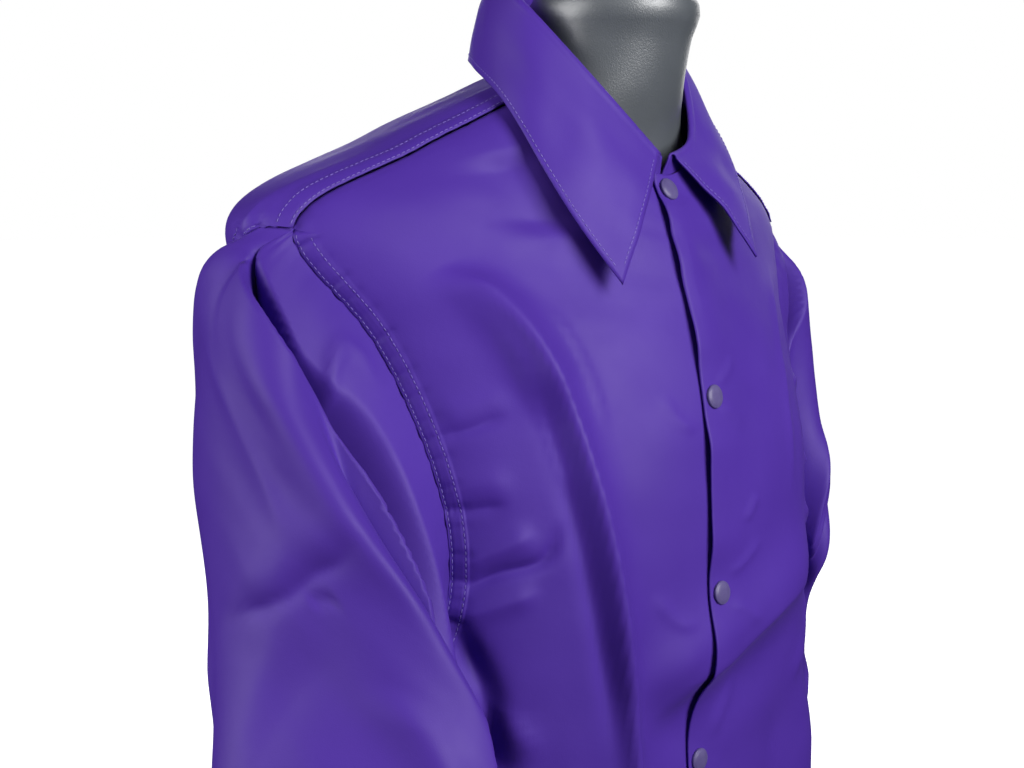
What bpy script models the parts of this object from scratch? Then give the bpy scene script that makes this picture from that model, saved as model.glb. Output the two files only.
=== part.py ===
"""Snap-front jacket with long collar points, hanging on a limbless torso form.

Metres, +Z up. The jacket faces -Y, the wearer's left is +X, and the form stands on z = 0.
"""

from collections import namedtuple
from math import pi, radians

import bmesh
import bpy
import numpy as np
from mathutils import Matrix, Vector
from mathutils.bvhtree import BVHTree

# Cloth and seams
CLOTH = 0.0015
SEAM_GAP = 0.0003
LAP_LIFT = 0.0020
FRONT_LAP = 0.0125
LAP_FADE = 0.045

# Garment landmarks, as levels up the cloth from the floor
HEM_LEVEL = 0.060
ARMPIT_LEVEL = 0.435
TIP_LEVEL = 0.738
NECK_LEVEL = 0.928

# Shoulder seam, forward of the shoulder ridge, as angles from the side towards the front
SEAM_ANGLE_AT_TIP = radians(-18)
SEAM_ANGLE_AT_NECK = radians(-17)

# How far the armhole bows onto the front and the back, and the shape of that bow
ARMHOLE_FRONT_BOW = radians(69)
ARMHOLE_BACK_BOW = radians(55)
ARMHOLE_LOW_POWER = 0.35
ARMHOLE_FRONT_TOP_POWER = 1.3
ARMHOLE_BACK_TOP_POWER = 0.40

# Snap caps down the left front
SNAP_LEVELS = (0.898, 0.625, 0.491, 0.377, 0.255, 0.135)
SNAP_RADIUS = 0.0076
SNAP_HEIGHT = 0.0024
SNAP_CLEARANCE = 0.0005
SNAP_SEARCH = 0.05

# Mesh densities
BODY_ROWS_BELOW_ARMPIT = 14
ARMHOLE_STEPS = 12
YOKE_ROWS = 5
FRONT_COLUMNS = 15
HALF_BACK_COLUMNS = 11
SLEEVE_ROWS = 17
HALF_COLLAR_COLUMNS = 18
COLLAR_STAND_ROWS = 3
COLLAR_LEAF_ROWS = 4
COLLAR_FOLD_ROWS = 3
FORM_SEGMENTS = 28
SNAP_STEPS = 16

FOLD_GIRTH_RADIUS = 0.19
FOLD_SAMPLES = 32

Ring = namedtuple(
    "Ring",
    "level side_z front_z back_z half_width front_depth back_depth side_y front_full back_full",
)
BODY_RINGS = [
    Ring(0.060, 0.060, 0.060, 0.060, 0.230, 0.152, 0.132, 0.000, 2.2, 2.2),
    Ring(0.200, 0.200, 0.200, 0.200, 0.222, 0.151, 0.126, 0.000, 2.2, 2.2),
    Ring(0.350, 0.350, 0.350, 0.350, 0.211, 0.153, 0.122, 0.000, 2.2, 2.3),
    Ring(0.440, 0.440, 0.440, 0.440, 0.206, 0.156, 0.128, 0.000, 2.3, 2.4),
    Ring(0.575, 0.575, 0.570, 0.585, 0.204, 0.157, 0.140, 0.000, 2.2, 2.4),
    Ring(0.660, 0.660, 0.642, 0.685, 0.216, 0.146, 0.138, 0.000, 1.75, 2.2),
    Ring(0.738, 0.724, 0.690, 0.748, 0.246, 0.133, 0.122, 0.000, 1.35, 1.9),
    Ring(0.836, 0.772, 0.724, 0.794, 0.156, 0.121, 0.078, -0.016, 1.6, 1.9),
    Ring(0.928, 0.812, 0.752, 0.824, 0.072, 0.108, 0.020, -0.036, 2.0, 2.0),
]

# Folds of the body: a bent path of (degrees round from centre front, wearer's right negative; level),
# then half width and height
Fold = namedtuple("Fold", "from_angle from_level by_angle by_level to_angle to_level width height")
FOLDS = [
    Fold(-44, 0.729, -22, 0.602, -13, 0.387, 0.018, 0.011),
    Fold(-40, 0.639, -29, 0.567, -20, 0.434, 0.022, -0.010),
    Fold(-48, 0.723, -37, 0.690, -34, 0.607, 0.016, 0.006),
    Fold(-58, 0.860, -44, 0.830, -30, 0.770, 0.022, -0.005),
    Fold(-17, 0.425, 6, 0.475, 44, 0.500, 0.024, 0.007),
    Fold(-15, 0.385, 6, 0.420, 44, 0.450, 0.026, -0.008),
    Fold(-14, 0.400, -11, 0.230, -13, 0.060, 0.030, 0.012),
    Fold(-60, 0.420, -48, 0.300, -46, 0.060, 0.036, 0.012),
    Fold(-30, 0.360, -30, 0.200, -30, 0.060, 0.030, -0.010),
    Fold(50, 0.420, 44, 0.280, 42, 0.060, 0.036, 0.011),
    Fold(24, 0.360, 20, 0.200, 18, 0.060, 0.034, -0.008),
    Fold(124, 0.500, 136, 0.330, 140, 0.060, 0.034, 0.012),
    Fold(152, 0.420, 158, 0.260, 160, 0.060, 0.034, -0.009),
    Fold(176, 0.380, 178, 0.240, 181, 0.060, 0.034, 0.009),
    Fold(-124, 0.520, -134, 0.330, -138, 0.060, 0.034, 0.011),
    Fold(-150, 0.430, -156, 0.260, -159, 0.060, 0.034, -0.009),
]

# Sleeve sections: flattened tubes, turned so that the flat side faces forward as they go down
Section = namedtuple("Section", "z x y half_wide half_thick turn")
RIGHT_SLEEVE = [
    Section(0.720, 0.222, 0.002, 0.072, 0.059, 0),
    Section(0.680, 0.226, -0.004, 0.073, 0.055, 2),
    Section(0.620, 0.2345, -0.0205, 0.070, 0.046, 7),
    Section(0.570, 0.240, -0.040, 0.0715, 0.042, 14),
    Section(0.500, 0.243, -0.072, 0.0725, 0.038, 29),
    Section(0.405, 0.256, -0.114, 0.0825, 0.036, 43),
    Section(0.280, 0.274, -0.133, 0.076, 0.036, 44),
    Section(0.170, 0.282, -0.142, 0.068, 0.034, 44),
    Section(0.105, 0.280, -0.150, 0.062, 0.033, 44),
]
LEFT_SLEEVE = [
    Section(0.720, 0.222, 0.002, 0.072, 0.054, 0),
    Section(0.680, 0.226, 0.002, 0.073, 0.053, 2),
    Section(0.620, 0.235, 0.004, 0.072, 0.046, 4),
    Section(0.570, 0.245, 0.010, 0.075, 0.042, 5),
    Section(0.505, 0.253, 0.011, 0.076, 0.041, 8),
    Section(0.460, 0.258, 0.013, 0.077, 0.038, 8),
    Section(0.425, 0.261, 0.030, 0.075, 0.036, 6),
    Section(0.370, 0.264, 0.038, 0.076, 0.036, 4),
    Section(0.250, 0.268, 0.046, 0.074, 0.035, 4),
    Section(0.170, 0.269, 0.050, 0.067, 0.034, 4),
    Section(0.105, 0.268, 0.052, 0.061, 0.033, 4),
]
SLEEVE_BLEND = 0.19
SLEEVE_BLEND_POWER = 4
CUFF_Z = 0.105

# The deep pleat down the sleeve's front: how far down the sleeve, where round it, width, height
Pleat = namedtuple("Pleat", "from_share from_turn to_share to_turn width height")
SLEEVE_PLEATS = [
    Pleat(0.02, 166, 0.30, 112, 24, 0.010),
    Pleat(0.00, 130, 0.30, 72, 25, -0.022),
]

# Collar loops from centre front to centre back, on the wearer's left
CollarStation = namedtuple("CollarStation", "share roll_x roll_y roll_z edge_x edge_y edge_z")
COLLAR_STATIONS = [
    CollarStation(0.00, 0.006, -0.1125, 0.764, 0.067, -0.1415, 0.690),
    CollarStation(0.22, 0.048, -0.0980, 0.806, 0.094, -0.1060, 0.748),
    CollarStation(0.45, 0.074, -0.0640, 0.852, 0.098, -0.0620, 0.800),
    CollarStation(0.65, 0.066, -0.0280, 0.874, 0.080, -0.0180, 0.822),
    CollarStation(0.84, 0.036, -0.0010, 0.884, 0.046, 0.0190, 0.832),
    CollarStation(1.00, 0.000, 0.0080, 0.886, 0.000, 0.0340, 0.836),
]
COLLAR_FOLD_RADIUS = 0.0035
COLLAR_SEAM_RISE = 0.0012
COLLAR_LEFT_POINT_RISE = 0.014
COLLAR_LEFT_POINT_FADE = 0.22
COLLAR_LEFT_ROLL_DROP = 0.020
COLLAR_LEFT_ROLL_FADE = 0.60

# The torso form, ring by ring from its flat base to the top of the neck
FormRing = namedtuple("FormRing", "z half_width front_depth back_depth centre_y")
FORM_RINGS = [
    FormRing(0.000, 0.160, 0.098, 0.098, 0.000),
    FormRing(0.008, 0.166, 0.104, 0.104, 0.000),
    FormRing(0.100, 0.172, 0.108, 0.108, 0.000),
    FormRing(0.230, 0.158, 0.106, 0.100, 0.000),
    FormRing(0.330, 0.152, 0.110, 0.096, 0.000),
    FormRing(0.450, 0.166, 0.126, 0.104, 0.000),
    FormRing(0.560, 0.176, 0.128, 0.112, 0.000),
    FormRing(0.640, 0.172, 0.112, 0.110, 0.000),
    FormRing(0.690, 0.160, 0.092, 0.090, -0.006),
    FormRing(0.725, 0.136, 0.074, 0.072, -0.016),
    FormRing(0.755, 0.104, 0.060, 0.060, -0.030),
    FormRing(0.782, 0.074, 0.052, 0.050, -0.044),
    FormRing(0.806, 0.060, 0.054, 0.050, -0.052),
    FormRing(0.840, 0.055, 0.056, 0.051, -0.060),
    FormRing(0.862, 0.055, 0.058, 0.052, -0.065),
    FormRing(0.870, 0.050, 0.053, 0.047, -0.065),
]

PURPLE = (0.105, 0.045, 0.330, 1.0)
SNAP_PURPLE = (0.180, 0.130, 0.340, 1.0)
FORM_GREY = (0.060, 0.066, 0.072, 1.0)


def clear_scene():
    for obj in list(bpy.data.objects):
        bpy.data.objects.remove(obj)


def smoothstep(low, high, value):
    share = np.clip((value - low) / (high - low), 0, 1)
    return share * share * (3 - 2 * share)


def through(knots, values, at):
    """A smooth curve through table values, read at the given places."""
    knots, values, at = np.asarray(knots, float), np.asarray(values, float), np.asarray(at, float)
    slopes = np.gradient(values, knots, axis=0)
    i = np.clip(np.searchsorted(knots, at) - 1, 0, len(knots) - 2)
    span = knots[i + 1] - knots[i]
    t = np.clip((at - knots[i]) / span, 0, 1)
    if values.ndim > 1:
        t, span = t[..., None], span[..., None]
    return (
        (2 * t**3 - 3 * t**2 + 1) * values[i]
        + (t**3 - 2 * t**2 + t) * span * slopes[i]
        + (3 * t**2 - 2 * t**3) * values[i + 1]
        + (t**3 - t**2) * span * slopes[i + 1]
    )


def signed_power(value, power):
    return np.sign(value) * np.abs(value) ** power


def plain_body(level, angle, side):
    """A point of the smooth body: angle -90 degrees is centre front, 0 the side, 90 centre back."""
    ring = Ring(*np.moveaxis(through([r.level for r in BODY_RINGS], BODY_RINGS, level), -1, 0))
    across, along = np.cos(angle), np.sin(angle)
    in_front = along < 0
    full = np.where(in_front, ring.front_full, ring.back_full)
    depth = np.where(in_front, ring.front_depth, ring.back_depth)
    end_z = np.where(in_front, ring.front_z, ring.back_z)
    x = side * ring.half_width * signed_power(across, 2 / full)
    y = ring.side_y * (1 - along**2) + depth * signed_power(along, 2 / full)
    z = ring.side_z + (end_z - ring.side_z) * along**2
    return np.stack([x, y, z], axis=-1)


def body_normal(level, angle, side):
    step = 0.002
    up = plain_body(level + step, angle, side) - plain_body(level - step, angle, side)
    round_it = plain_body(level, angle + step, side) - plain_body(level, angle - step, side)
    normal = side * np.cross(round_it, up)
    return normal / np.linalg.norm(normal, axis=-1, keepdims=True)


def fold_offset(level, round_degrees):
    """How far the folds lift the cloth, each a soft ridge or trough along a bent path."""
    total = np.zeros(np.shape(level))
    t = np.linspace(0, 1, FOLD_SAMPLES)
    for fold in FOLDS:
        weights = ((1 - t) ** 2, 2 * t * (1 - t), t**2)
        path_angle = np.dot((fold.from_angle, fold.by_angle, fold.to_angle), weights)
        path_level = np.dot((fold.from_level, fold.by_level, fold.to_level), weights)
        turn = np.mod(round_degrees[..., None] - path_angle + 180, 360) - 180
        away = np.hypot(FOLD_GIRTH_RADIUS * np.radians(turn), level[..., None] - path_level)
        nearest = away.argmin(axis=-1) / (FOLD_SAMPLES - 1)
        taper = smoothstep(0, 0.25, nearest)
        if fold.to_level > HEM_LEVEL:
            taper = taper * smoothstep(0, 0.25, 1 - nearest)
        total += fold.height * taper * np.exp(-((away.min(axis=-1) / fold.width) ** 2))
    return total


def body(level, angle, side, lift=0.0):
    """A point of the draped body, moved out by lift, and the cloth's direction there."""
    level, angle = np.broadcast_arrays(np.asarray(level, float), np.asarray(angle, float))
    offset = fold_offset(level, side * (np.degrees(angle) + 90))
    normal = body_normal(level, angle, side)
    return plain_body(level, angle, side) + normal * (offset + lift)[..., None], normal


def armhole_angle(level, on_back):
    """The armhole's edge: it bows onto the panel between the armpit and the shoulder tip."""
    share = np.clip((level - ARMPIT_LEVEL) / (TIP_LEVEL - ARMPIT_LEVEL), 0, 1)
    bow = np.where(on_back, ARMHOLE_BACK_BOW, -ARMHOLE_FRONT_BOW)
    top_power = np.where(on_back, ARMHOLE_BACK_TOP_POWER, ARMHOLE_FRONT_TOP_POWER)
    return SEAM_ANGLE_AT_TIP * share + bow * share**ARMHOLE_LOW_POWER * (1 - share) ** top_power


def armhole_levels():
    turn = np.linspace(0, pi, ARMHOLE_STEPS + 1)
    return ARMPIT_LEVEL + (TIP_LEVEL - ARMPIT_LEVEL) * (1 - np.cos(turn)) / 2


def row_levels():
    below = np.linspace(HEM_LEVEL, ARMPIT_LEVEL, BODY_ROWS_BELOW_ARMPIT + 1)
    yoke = np.linspace(TIP_LEVEL, NECK_LEVEL, YOKE_ROWS + 1)
    return np.concatenate([below[:-1], armhole_levels(), yoke[1:]])


def panel_edge(level, on_back):
    """The angle of a panel's outer edge: side seam, then armhole, then shoulder seam."""
    in_yoke = np.clip((level - TIP_LEVEL) / (NECK_LEVEL - TIP_LEVEL), 0, 1)
    seam = SEAM_ANGLE_AT_TIP + (SEAM_ANGLE_AT_NECK - SEAM_ANGLE_AT_TIP) * in_yoke
    return np.where(level >= TIP_LEVEL, seam, armhole_angle(level, on_back))


def beside(edge, normal, side):
    """The unit direction across an edge that runs upwards, along the cloth, towards the back."""
    along = np.gradient(edge, axis=0)
    across = side * np.cross(along, normal)
    return across / np.linalg.norm(across, axis=-1, keepdims=True)


def link(obj, collection, material):
    collection.objects.link(obj)
    obj.data.materials.append(material)
    return obj


def grid_into(bm, points, flip=False):
    """A rectangular sheet through rows of points, from Blender's grid. Returns its vertices by row."""
    rows, columns = points.shape[:2]
    made = bmesh.ops.create_grid(bm, x_segments=columns - 1, y_segments=rows - 1, size=1.0)["verts"]
    for vertex, place in zip(made, points.reshape(-1, 3)):
        vertex.co = place
    if flip:
        faces = {face for vertex in made for face in vertex.link_faces}
        bmesh.ops.reverse_faces(bm, faces=list(faces))
    return made


def wall(name, outer, inner, collection, material):
    """A closed cloth wall between an outer and an inner sheet of matching points."""
    bm = bmesh.new()
    grid_into(bm, outer)
    grid_into(bm, inner, flip=True)
    bmesh.ops.bridge_loops(bm, edges=[e for e in bm.edges if e.is_boundary])
    return solid(name, bm, collection, material)


def tube_wall(name, outer, inner, collection, material):
    """A closed wall between two tubes of matching points, whose rows run round and meet."""
    bm = bmesh.new()
    rings = []
    for points, flip in ((outer, False), (inner, True)):
        closed = np.concatenate([points, points[:, :1]], axis=1)
        rows = closed.shape[0]
        made = grid_into(bm, closed, flip)
        columns = closed.shape[1]
        seam = [made[r * columns + c] for r in range(rows) for c in (0, columns - 1)]
        bmesh.ops.remove_doubles(bm, verts=seam, dist=1e-6)
        rings.append([e for e in bm.edges if e.is_boundary and e not in sum(rings, [])])
    first, last = [], []
    top = Vector(outer[0].mean(axis=0))
    bottom = Vector(outer[-1].mean(axis=0))
    for edge in rings[0] + rings[1]:
        middle = (edge.verts[0].co + edge.verts[1].co) / 2
        nearer_top = (middle - top).length < (middle - bottom).length
        (first if nearer_top else last).append(edge)
    bmesh.ops.bridge_loops(bm, edges=first)
    bmesh.ops.bridge_loops(bm, edges=last)
    return solid(name, bm, collection, material)


def solid(name, bm, collection, material):
    bmesh.ops.recalc_face_normals(bm, faces=bm.faces)
    mesh = bpy.data.meshes.new(name)
    bm.to_mesh(mesh)
    bm.free()
    mesh.shade_smooth()
    mesh.set_sharp_from_angle(angle=radians(50))
    return link(bpy.data.objects.new(name, mesh), collection, material)


def lap_angle(level):
    """The angle past centre front at which a front's lap ends."""
    ring = Ring(*np.moveaxis(through([r.level for r in BODY_RINGS], BODY_RINGS, level), -1, 0))
    return -pi / 2 - np.arcsin((FRONT_LAP / ring.half_width) ** (ring.front_full / 2))


def front_panel(name, side, collection, material):
    """One front: side seam, armhole and shoulder seam on one edge, centre front on the other."""
    levels = row_levels()[:, None]
    edge = panel_edge(levels, False)
    share = np.linspace(0, 1, FRONT_COLUMNS + 1)[None, :]
    angle = -pi / 2 + (edge + pi / 2) * share
    angle = np.concatenate([lap_angle(levels), angle], axis=1)
    levels = np.broadcast_to(levels, angle.shape)
    over = LAP_LIFT + CLOTH + SEAM_GAP if side > 0 else 0.0
    from_centre = np.abs(plain_body(levels, angle, side)[..., 0])
    lift = over * (1 - smoothstep(FRONT_LAP, LAP_FADE, from_centre))
    outer, normal = body(levels, angle, side, lift)
    outer[:, -1] -= beside(outer[:, -1], normal[:, -1], side) * SEAM_GAP / 2
    return wall(name, outer, outer - normal * CLOTH, collection, material)


def back_panel(name, collection, material):
    """The back, one piece from side seam to side seam, which comes over the shoulders to the front."""
    halves = []
    for side in (-1, 1):
        levels = row_levels()[:, None]
        edge = panel_edge(levels, True)
        share = np.linspace(0, 1, HALF_BACK_COLUMNS + 1)[None, :]
        angle = edge + (pi / 2 - edge) * share
        outer, normal = body(np.broadcast_to(levels, angle.shape), angle, side)
        outer[:, 0] += beside(outer[:, 0], normal[:, 0], side) * SEAM_GAP / 2
        halves.append((outer, outer - normal * CLOTH))
    outer, inner = (
        np.concatenate([halves[0][k], halves[1][k][:, -2::-1]], axis=1) for k in (0, 1)
    )
    return wall(name, outer, inner, collection, material)


def sleeve_tube(z, turn, sections, side):
    """A point of the plain sleeve: turn 0 is under the arm, 90 degrees the front, 180 the outside."""
    sections = sorted(sections, key=lambda s: s.z)
    at = Section(*np.moveaxis(through([s.z for s in sections], sections, z), -1, 0))
    twist = np.radians(at.turn)
    wide, thick = at.half_wide * np.sin(turn), -at.half_thick * np.cos(turn)
    x = at.x - wide * np.sin(twist) + thick * np.cos(twist)
    y = at.y - wide * np.cos(twist) - thick * np.sin(twist)
    return np.stack([side * x, y, np.asarray(z, float)], axis=-1)


def pleat_offset(share, turn_degrees):
    total = np.zeros(np.shape(share))
    for pleat in SLEEVE_PLEATS:
        along = np.clip((share - pleat.from_share) / (pleat.to_share - pleat.from_share), 0, 1)
        centre = pleat.from_turn + (pleat.to_turn - pleat.from_turn) * along
        fade = smoothstep(0, 0.12, share - pleat.from_share)
        fade = fade * (1 - smoothstep(0.5, 1.25, share / pleat.to_share))
        total += pleat.height * fade * np.exp(-(((turn_degrees - centre) / pleat.width) ** 2))
    return total


def sleeve_surface(share, turn, sections, side):
    """A point of the sleeve, share 0 at the armhole and 1 at the cuff."""
    rise = (1 - np.cos(turn)) / 2
    level = ARMPIT_LEVEL + (TIP_LEVEL - ARMPIT_LEVEL) * rise
    on_back = np.mod(turn, 2 * pi) > pi
    start, _ = body(level, armhole_angle(level, on_back), side)
    z = start[..., 2] + (CUFF_Z - start[..., 2]) * share
    tube = sleeve_tube(z, turn, sections, side)
    blend = 1 - (1 - np.clip(share / SLEEVE_BLEND, 0, 1))[..., None] ** SLEEVE_BLEND_POWER
    point = start * (1 - blend) + tube * blend
    point[..., 2] = z
    return point


def sleeve_points(sections, side):
    """Outer and inner sheets of a sleeve, the first row set off from the armhole by the seam gap."""
    share = np.linspace(0, 1, SLEEVE_ROWS + 1)[:, None] ** 1.25
    turn = np.linspace(0, 2 * pi, 2 * ARMHOLE_STEPS + 1)[None, :-1]
    share, turn = np.broadcast_arrays(share, turn)
    step = 0.004
    down = sleeve_surface(np.minimum(share + step, 1), turn, sections, side)
    down = down - sleeve_surface(np.maximum(share - step, 0), turn, sections, side)
    round_it = sleeve_surface(share, turn + step, sections, side)
    round_it = round_it - sleeve_surface(share, turn - step, sections, side)
    normal = side * np.cross(down, round_it)
    normal /= np.linalg.norm(normal, axis=-1, keepdims=True)
    lift = pleat_offset(share, np.degrees(turn))[..., None]
    outer = sleeve_surface(share, turn, sections, side) + normal * lift
    rise = ARMPIT_LEVEL + (TIP_LEVEL - ARMPIT_LEVEL) * (1 - np.cos(turn[0])) / 2
    edge, edge_normal = body(rise, armhole_angle(rise, turn[0] > pi), side)
    along = np.roll(edge, -1, axis=0) - np.roll(edge, 1, axis=0)
    off_panel = side * np.cross(along, edge_normal)
    off_panel /= np.linalg.norm(off_panel, axis=-1, keepdims=True)
    outer[0] = edge + off_panel * SEAM_GAP
    normal[0] = edge_normal
    return outer, outer - normal * CLOTH


def collar_loops():
    """Neck seam, roll line and leaf edge round the neck, from the right centre front to the left."""
    share = np.linspace(0, 1, HALF_COLLAR_COLUMNS + 1)
    angle = -pi / 2 + pi * share
    angle[0] += radians(3)
    stations = np.array(COLLAR_STATIONS)
    seam, seam_normal = body(np.full(share.shape, NECK_LEVEL), angle, 1)
    up = plain_body(np.full(share.shape, NECK_LEVEL), angle, 1)
    up = up - plain_body(np.full(share.shape, NECK_LEVEL - 0.01), angle, 1)
    up /= np.linalg.norm(up, axis=-1, keepdims=True)
    seam = seam + up * COLLAR_SEAM_RISE - seam_normal * CLOTH / 2
    roll = through(stations[:, 0], stations[:, 1:4], share)
    edge = through(stations[:, 0], stations[:, 4:7], share)
    left_edge = edge.copy()
    left_edge[:, 2] += COLLAR_LEFT_POINT_RISE * (1 - smoothstep(0, COLLAR_LEFT_POINT_FADE, share))
    left_roll = roll.copy()
    left_roll[:, 2] -= COLLAR_LEFT_ROLL_DROP * np.sin(pi * np.clip(share / COLLAR_LEFT_ROLL_FADE, 0, 1))
    both = []
    for right, left in ((seam, seam), (roll, left_roll), (edge, left_edge)):
        both.append(np.concatenate([right * (-1, 1, 1), left[-2::-1]], axis=0))
    return both


def collar_points():
    """The folded collar, swept from the neck seam over the roll line to the leaf's edge."""
    seam, roll, edge = collar_loops()
    outward = edge - roll
    outward[:, 2] = 0
    outward /= np.linalg.norm(outward, axis=-1, keepdims=True)
    up = np.array([0.0, 0.0, 1.0])
    rows = []
    for share in np.linspace(0, 1, COLLAR_STAND_ROWS + 1)[:-1]:
        rows.append(seam + (roll - outward * COLLAR_FOLD_RADIUS - seam) * share)
    for turn in np.linspace(pi, 0, COLLAR_FOLD_ROWS):
        rows.append(roll + COLLAR_FOLD_RADIUS * (outward * np.cos(turn) + up * np.sin(turn)))
    top = roll + outward * COLLAR_FOLD_RADIUS
    for share in np.linspace(0, 1, COLLAR_LEAF_ROWS + 1)[1:]:
        rows.append(top + (edge - top) * share)
    return np.stack(rows)


def sheet_normals(points):
    down = np.gradient(points, axis=0)
    round_it = np.gradient(points, axis=1)
    normal = np.cross(down, round_it)
    return normal / np.linalg.norm(normal, axis=-1, keepdims=True)


def collar(name, collection, material):
    middle = collar_points()
    normal = sheet_normals(middle)
    return wall(name, middle + normal * CLOTH / 2, middle - normal * CLOTH / 2, collection, material)


def snap_cap(name, level, panel, collection, material):
    """A low domed cap, turned from its profile and set just clear of the left front's lap."""
    profile = [(0.0, 1.0), (0.55, 0.92), (0.88, 0.6), (1.0, 0.0), (0.0, 0.0)]
    mesh = bpy.data.meshes.new(name)
    points = [(SNAP_RADIUS * r, 0, SNAP_HEIGHT * h) for r, h in profile]
    mesh.from_pydata(points, [(i, i + 1) for i in range(len(points) - 1)], [])
    obj = link(bpy.data.objects.new(name, mesh), collection, material)
    turned = obj.modifiers.new("turned", "SCREW")
    turned.steps = turned.render_steps = SNAP_STEPS
    turned.use_merge_vertices = True
    turned.merge_threshold = 1e-5
    place, normal = (Vector(v) for v in body(np.array(level), np.array(-pi / 2), 1))
    turn = Vector((0, 0, 1)).rotation_difference(normal).to_matrix()
    surface = BVHTree.FromPolygons(
        [v.co for v in panel.data.vertices], [p.vertices for p in panel.data.polygons]
    )
    rim = []
    for a in np.linspace(0, 2 * pi, 17):
        rim.append(turn @ Vector((SNAP_RADIUS * np.cos(a), SNAP_RADIUS * np.sin(a), 0)))
    heights = []
    for offset in rim + [Vector()]:
        start = place + offset + normal * SNAP_SEARCH
        hit = surface.ray_cast(start, -normal)[0]
        heights.append((hit - place).dot(normal))
    place = place + normal * (max(heights) + SNAP_CLEARANCE)
    obj.matrix_world = Matrix.Translation(place) @ turn.to_4x4()
    return obj


def torso_form(name, collection, material):
    """The smooth limbless form inside the jacket, from its flat base to the top of the neck."""
    bm = bmesh.new()
    before = None
    for ring in FORM_RINGS:
        circle = bmesh.ops.create_circle(bm, segments=FORM_SEGMENTS, radius=1.0)["verts"]
        for vertex in circle:
            depth = ring.front_depth if vertex.co.y < 0 else ring.back_depth
            vertex.co = (vertex.co.x * ring.half_width, ring.centre_y + vertex.co.y * depth, ring.z)
        edges = list({edge for vertex in circle for edge in vertex.link_edges})
        if before is None:
            bmesh.ops.edgeloop_fill(bm, edges=edges)
        else:
            bmesh.ops.bridge_loops(bm, edges=before + edges)
        before = edges
    bmesh.ops.edgeloop_fill(bm, edges=before)
    return solid(name, bm, collection, material)


def material(name, colour, roughness, metallic=0.0):
    made = bpy.data.materials.new(name)
    made.use_nodes = True
    shader = made.node_tree.nodes["Principled BSDF"]
    shader.inputs["Base Color"].default_value = colour
    shader.inputs["Roughness"].default_value = roughness
    shader.inputs["Metallic"].default_value = metallic
    return made


def main():
    clear_scene()
    collection = bpy.data.collections.new("snap_front_jacket")
    bpy.context.scene.collection.children.link(collection)
    nylon = material("purple_nylon", PURPLE, 0.45)
    snap_plastic = material("snap_plastic", SNAP_PURPLE, 0.35)
    form_skin = material("form_skin", FORM_GREY, 0.5)
    left = front_panel("front_left", 1, collection, nylon)
    front_panel("front_right", -1, collection, nylon)
    back_panel("back", collection, nylon)
    tube_wall("sleeve_left", *sleeve_points(LEFT_SLEEVE, 1), collection, nylon)
    tube_wall("sleeve_right", *sleeve_points(RIGHT_SLEEVE, -1), collection, nylon)
    collar("collar", collection, nylon)
    for number, level in enumerate(SNAP_LEVELS, start=1):
        snap_cap(f"snap_cap_{number}", level, left, collection, snap_plastic)
    torso_form("torso_form", collection, form_skin)


main()
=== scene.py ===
"""Snap-front jacket on a limbless torso form: the dressed model, its light and its camera.

Metres, +Z up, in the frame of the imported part. The jacket faces -Y and the wearer's left is +X.
The cloth repeats the part's rings, folds and sections on a fine grid and adds creases, seams and stitches.
"""

from collections import namedtuple
from math import cos, pi, radians, sin

import bpy
import numpy as np
from mathutils import Matrix, Vector
from mathutils.bvhtree import BVHTree


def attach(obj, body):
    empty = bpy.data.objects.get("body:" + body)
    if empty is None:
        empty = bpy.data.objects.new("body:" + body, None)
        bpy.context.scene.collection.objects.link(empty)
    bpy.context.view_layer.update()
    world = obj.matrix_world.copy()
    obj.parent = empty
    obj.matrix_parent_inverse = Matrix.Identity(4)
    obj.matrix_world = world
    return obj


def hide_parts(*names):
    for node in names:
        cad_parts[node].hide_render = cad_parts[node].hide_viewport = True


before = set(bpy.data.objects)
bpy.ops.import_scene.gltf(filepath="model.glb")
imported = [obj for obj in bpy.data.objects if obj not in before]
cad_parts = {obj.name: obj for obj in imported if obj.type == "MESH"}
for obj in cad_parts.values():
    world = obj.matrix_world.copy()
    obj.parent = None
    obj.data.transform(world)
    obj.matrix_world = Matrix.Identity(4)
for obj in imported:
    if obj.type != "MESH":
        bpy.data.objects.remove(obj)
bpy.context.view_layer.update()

# Cloth, seams and laps
CLOTH = 0.0009
COLLAR_CLOTH = 0.0014
FRONT_LAP = 0.0105
LAP_FADE = 0.045
LAP_LIFT_AT_SNAP = 0.0022
LAP_LIFT_BETWEEN = 0.0024
LAP_HELD, LAP_LOOSE = 0.008, 0.040
LAP_WANDER, LAP_WANDER_SWING, LAP_WANDER_LENGTH, LAP_WANDER_START = 0.9, 0.3, 0.083, 0.7
SEAM_BAND = 0.0105
SEAM_BAND_RISE = 0.0009
SEAM_BAND_STEP = 0.0016
SHOULDER_BAND_RISE = 0.0017
SHOULDER_DIP, SHOULDER_DIP_WIDTH = 0.0007, 0.006
STITCH_ROWS = (0.0018, 0.0098)
STITCH_GROOVE, STITCH_GROOVE_WIDTH = 0.0004, 0.0009
STITCH_PITCH = 0.0036
STITCH_LENGTH = 0.0026
STITCH_WIDTH = 0.00062
STITCH_HEIGHT = 0.00042
STITCH_AIM = 0.001
HEM_TURN = 0.020
HEM_RISE, HEM_RISE_STEP = 0.0005, 0.003
HEM_GROOVE, HEM_GROOVE_WIDTH = 0.0004, 0.0022

# Puckers across a seam: pitch, depth, and the distances from the seam between which they die out
Pucker = namedtuple("Pucker", "pitch depth full_to none_from")
ARMHOLE_PUCKER = Pucker(0.0135, 0.0015, 0.007, 0.018)
SHOULDER_PUCKER = Pucker(0.0135, 0.0004, 0.007, 0.018)
YOKE_PUCKER = Pucker(0.011, 0.0004, 0.002, 0.016)
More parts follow.
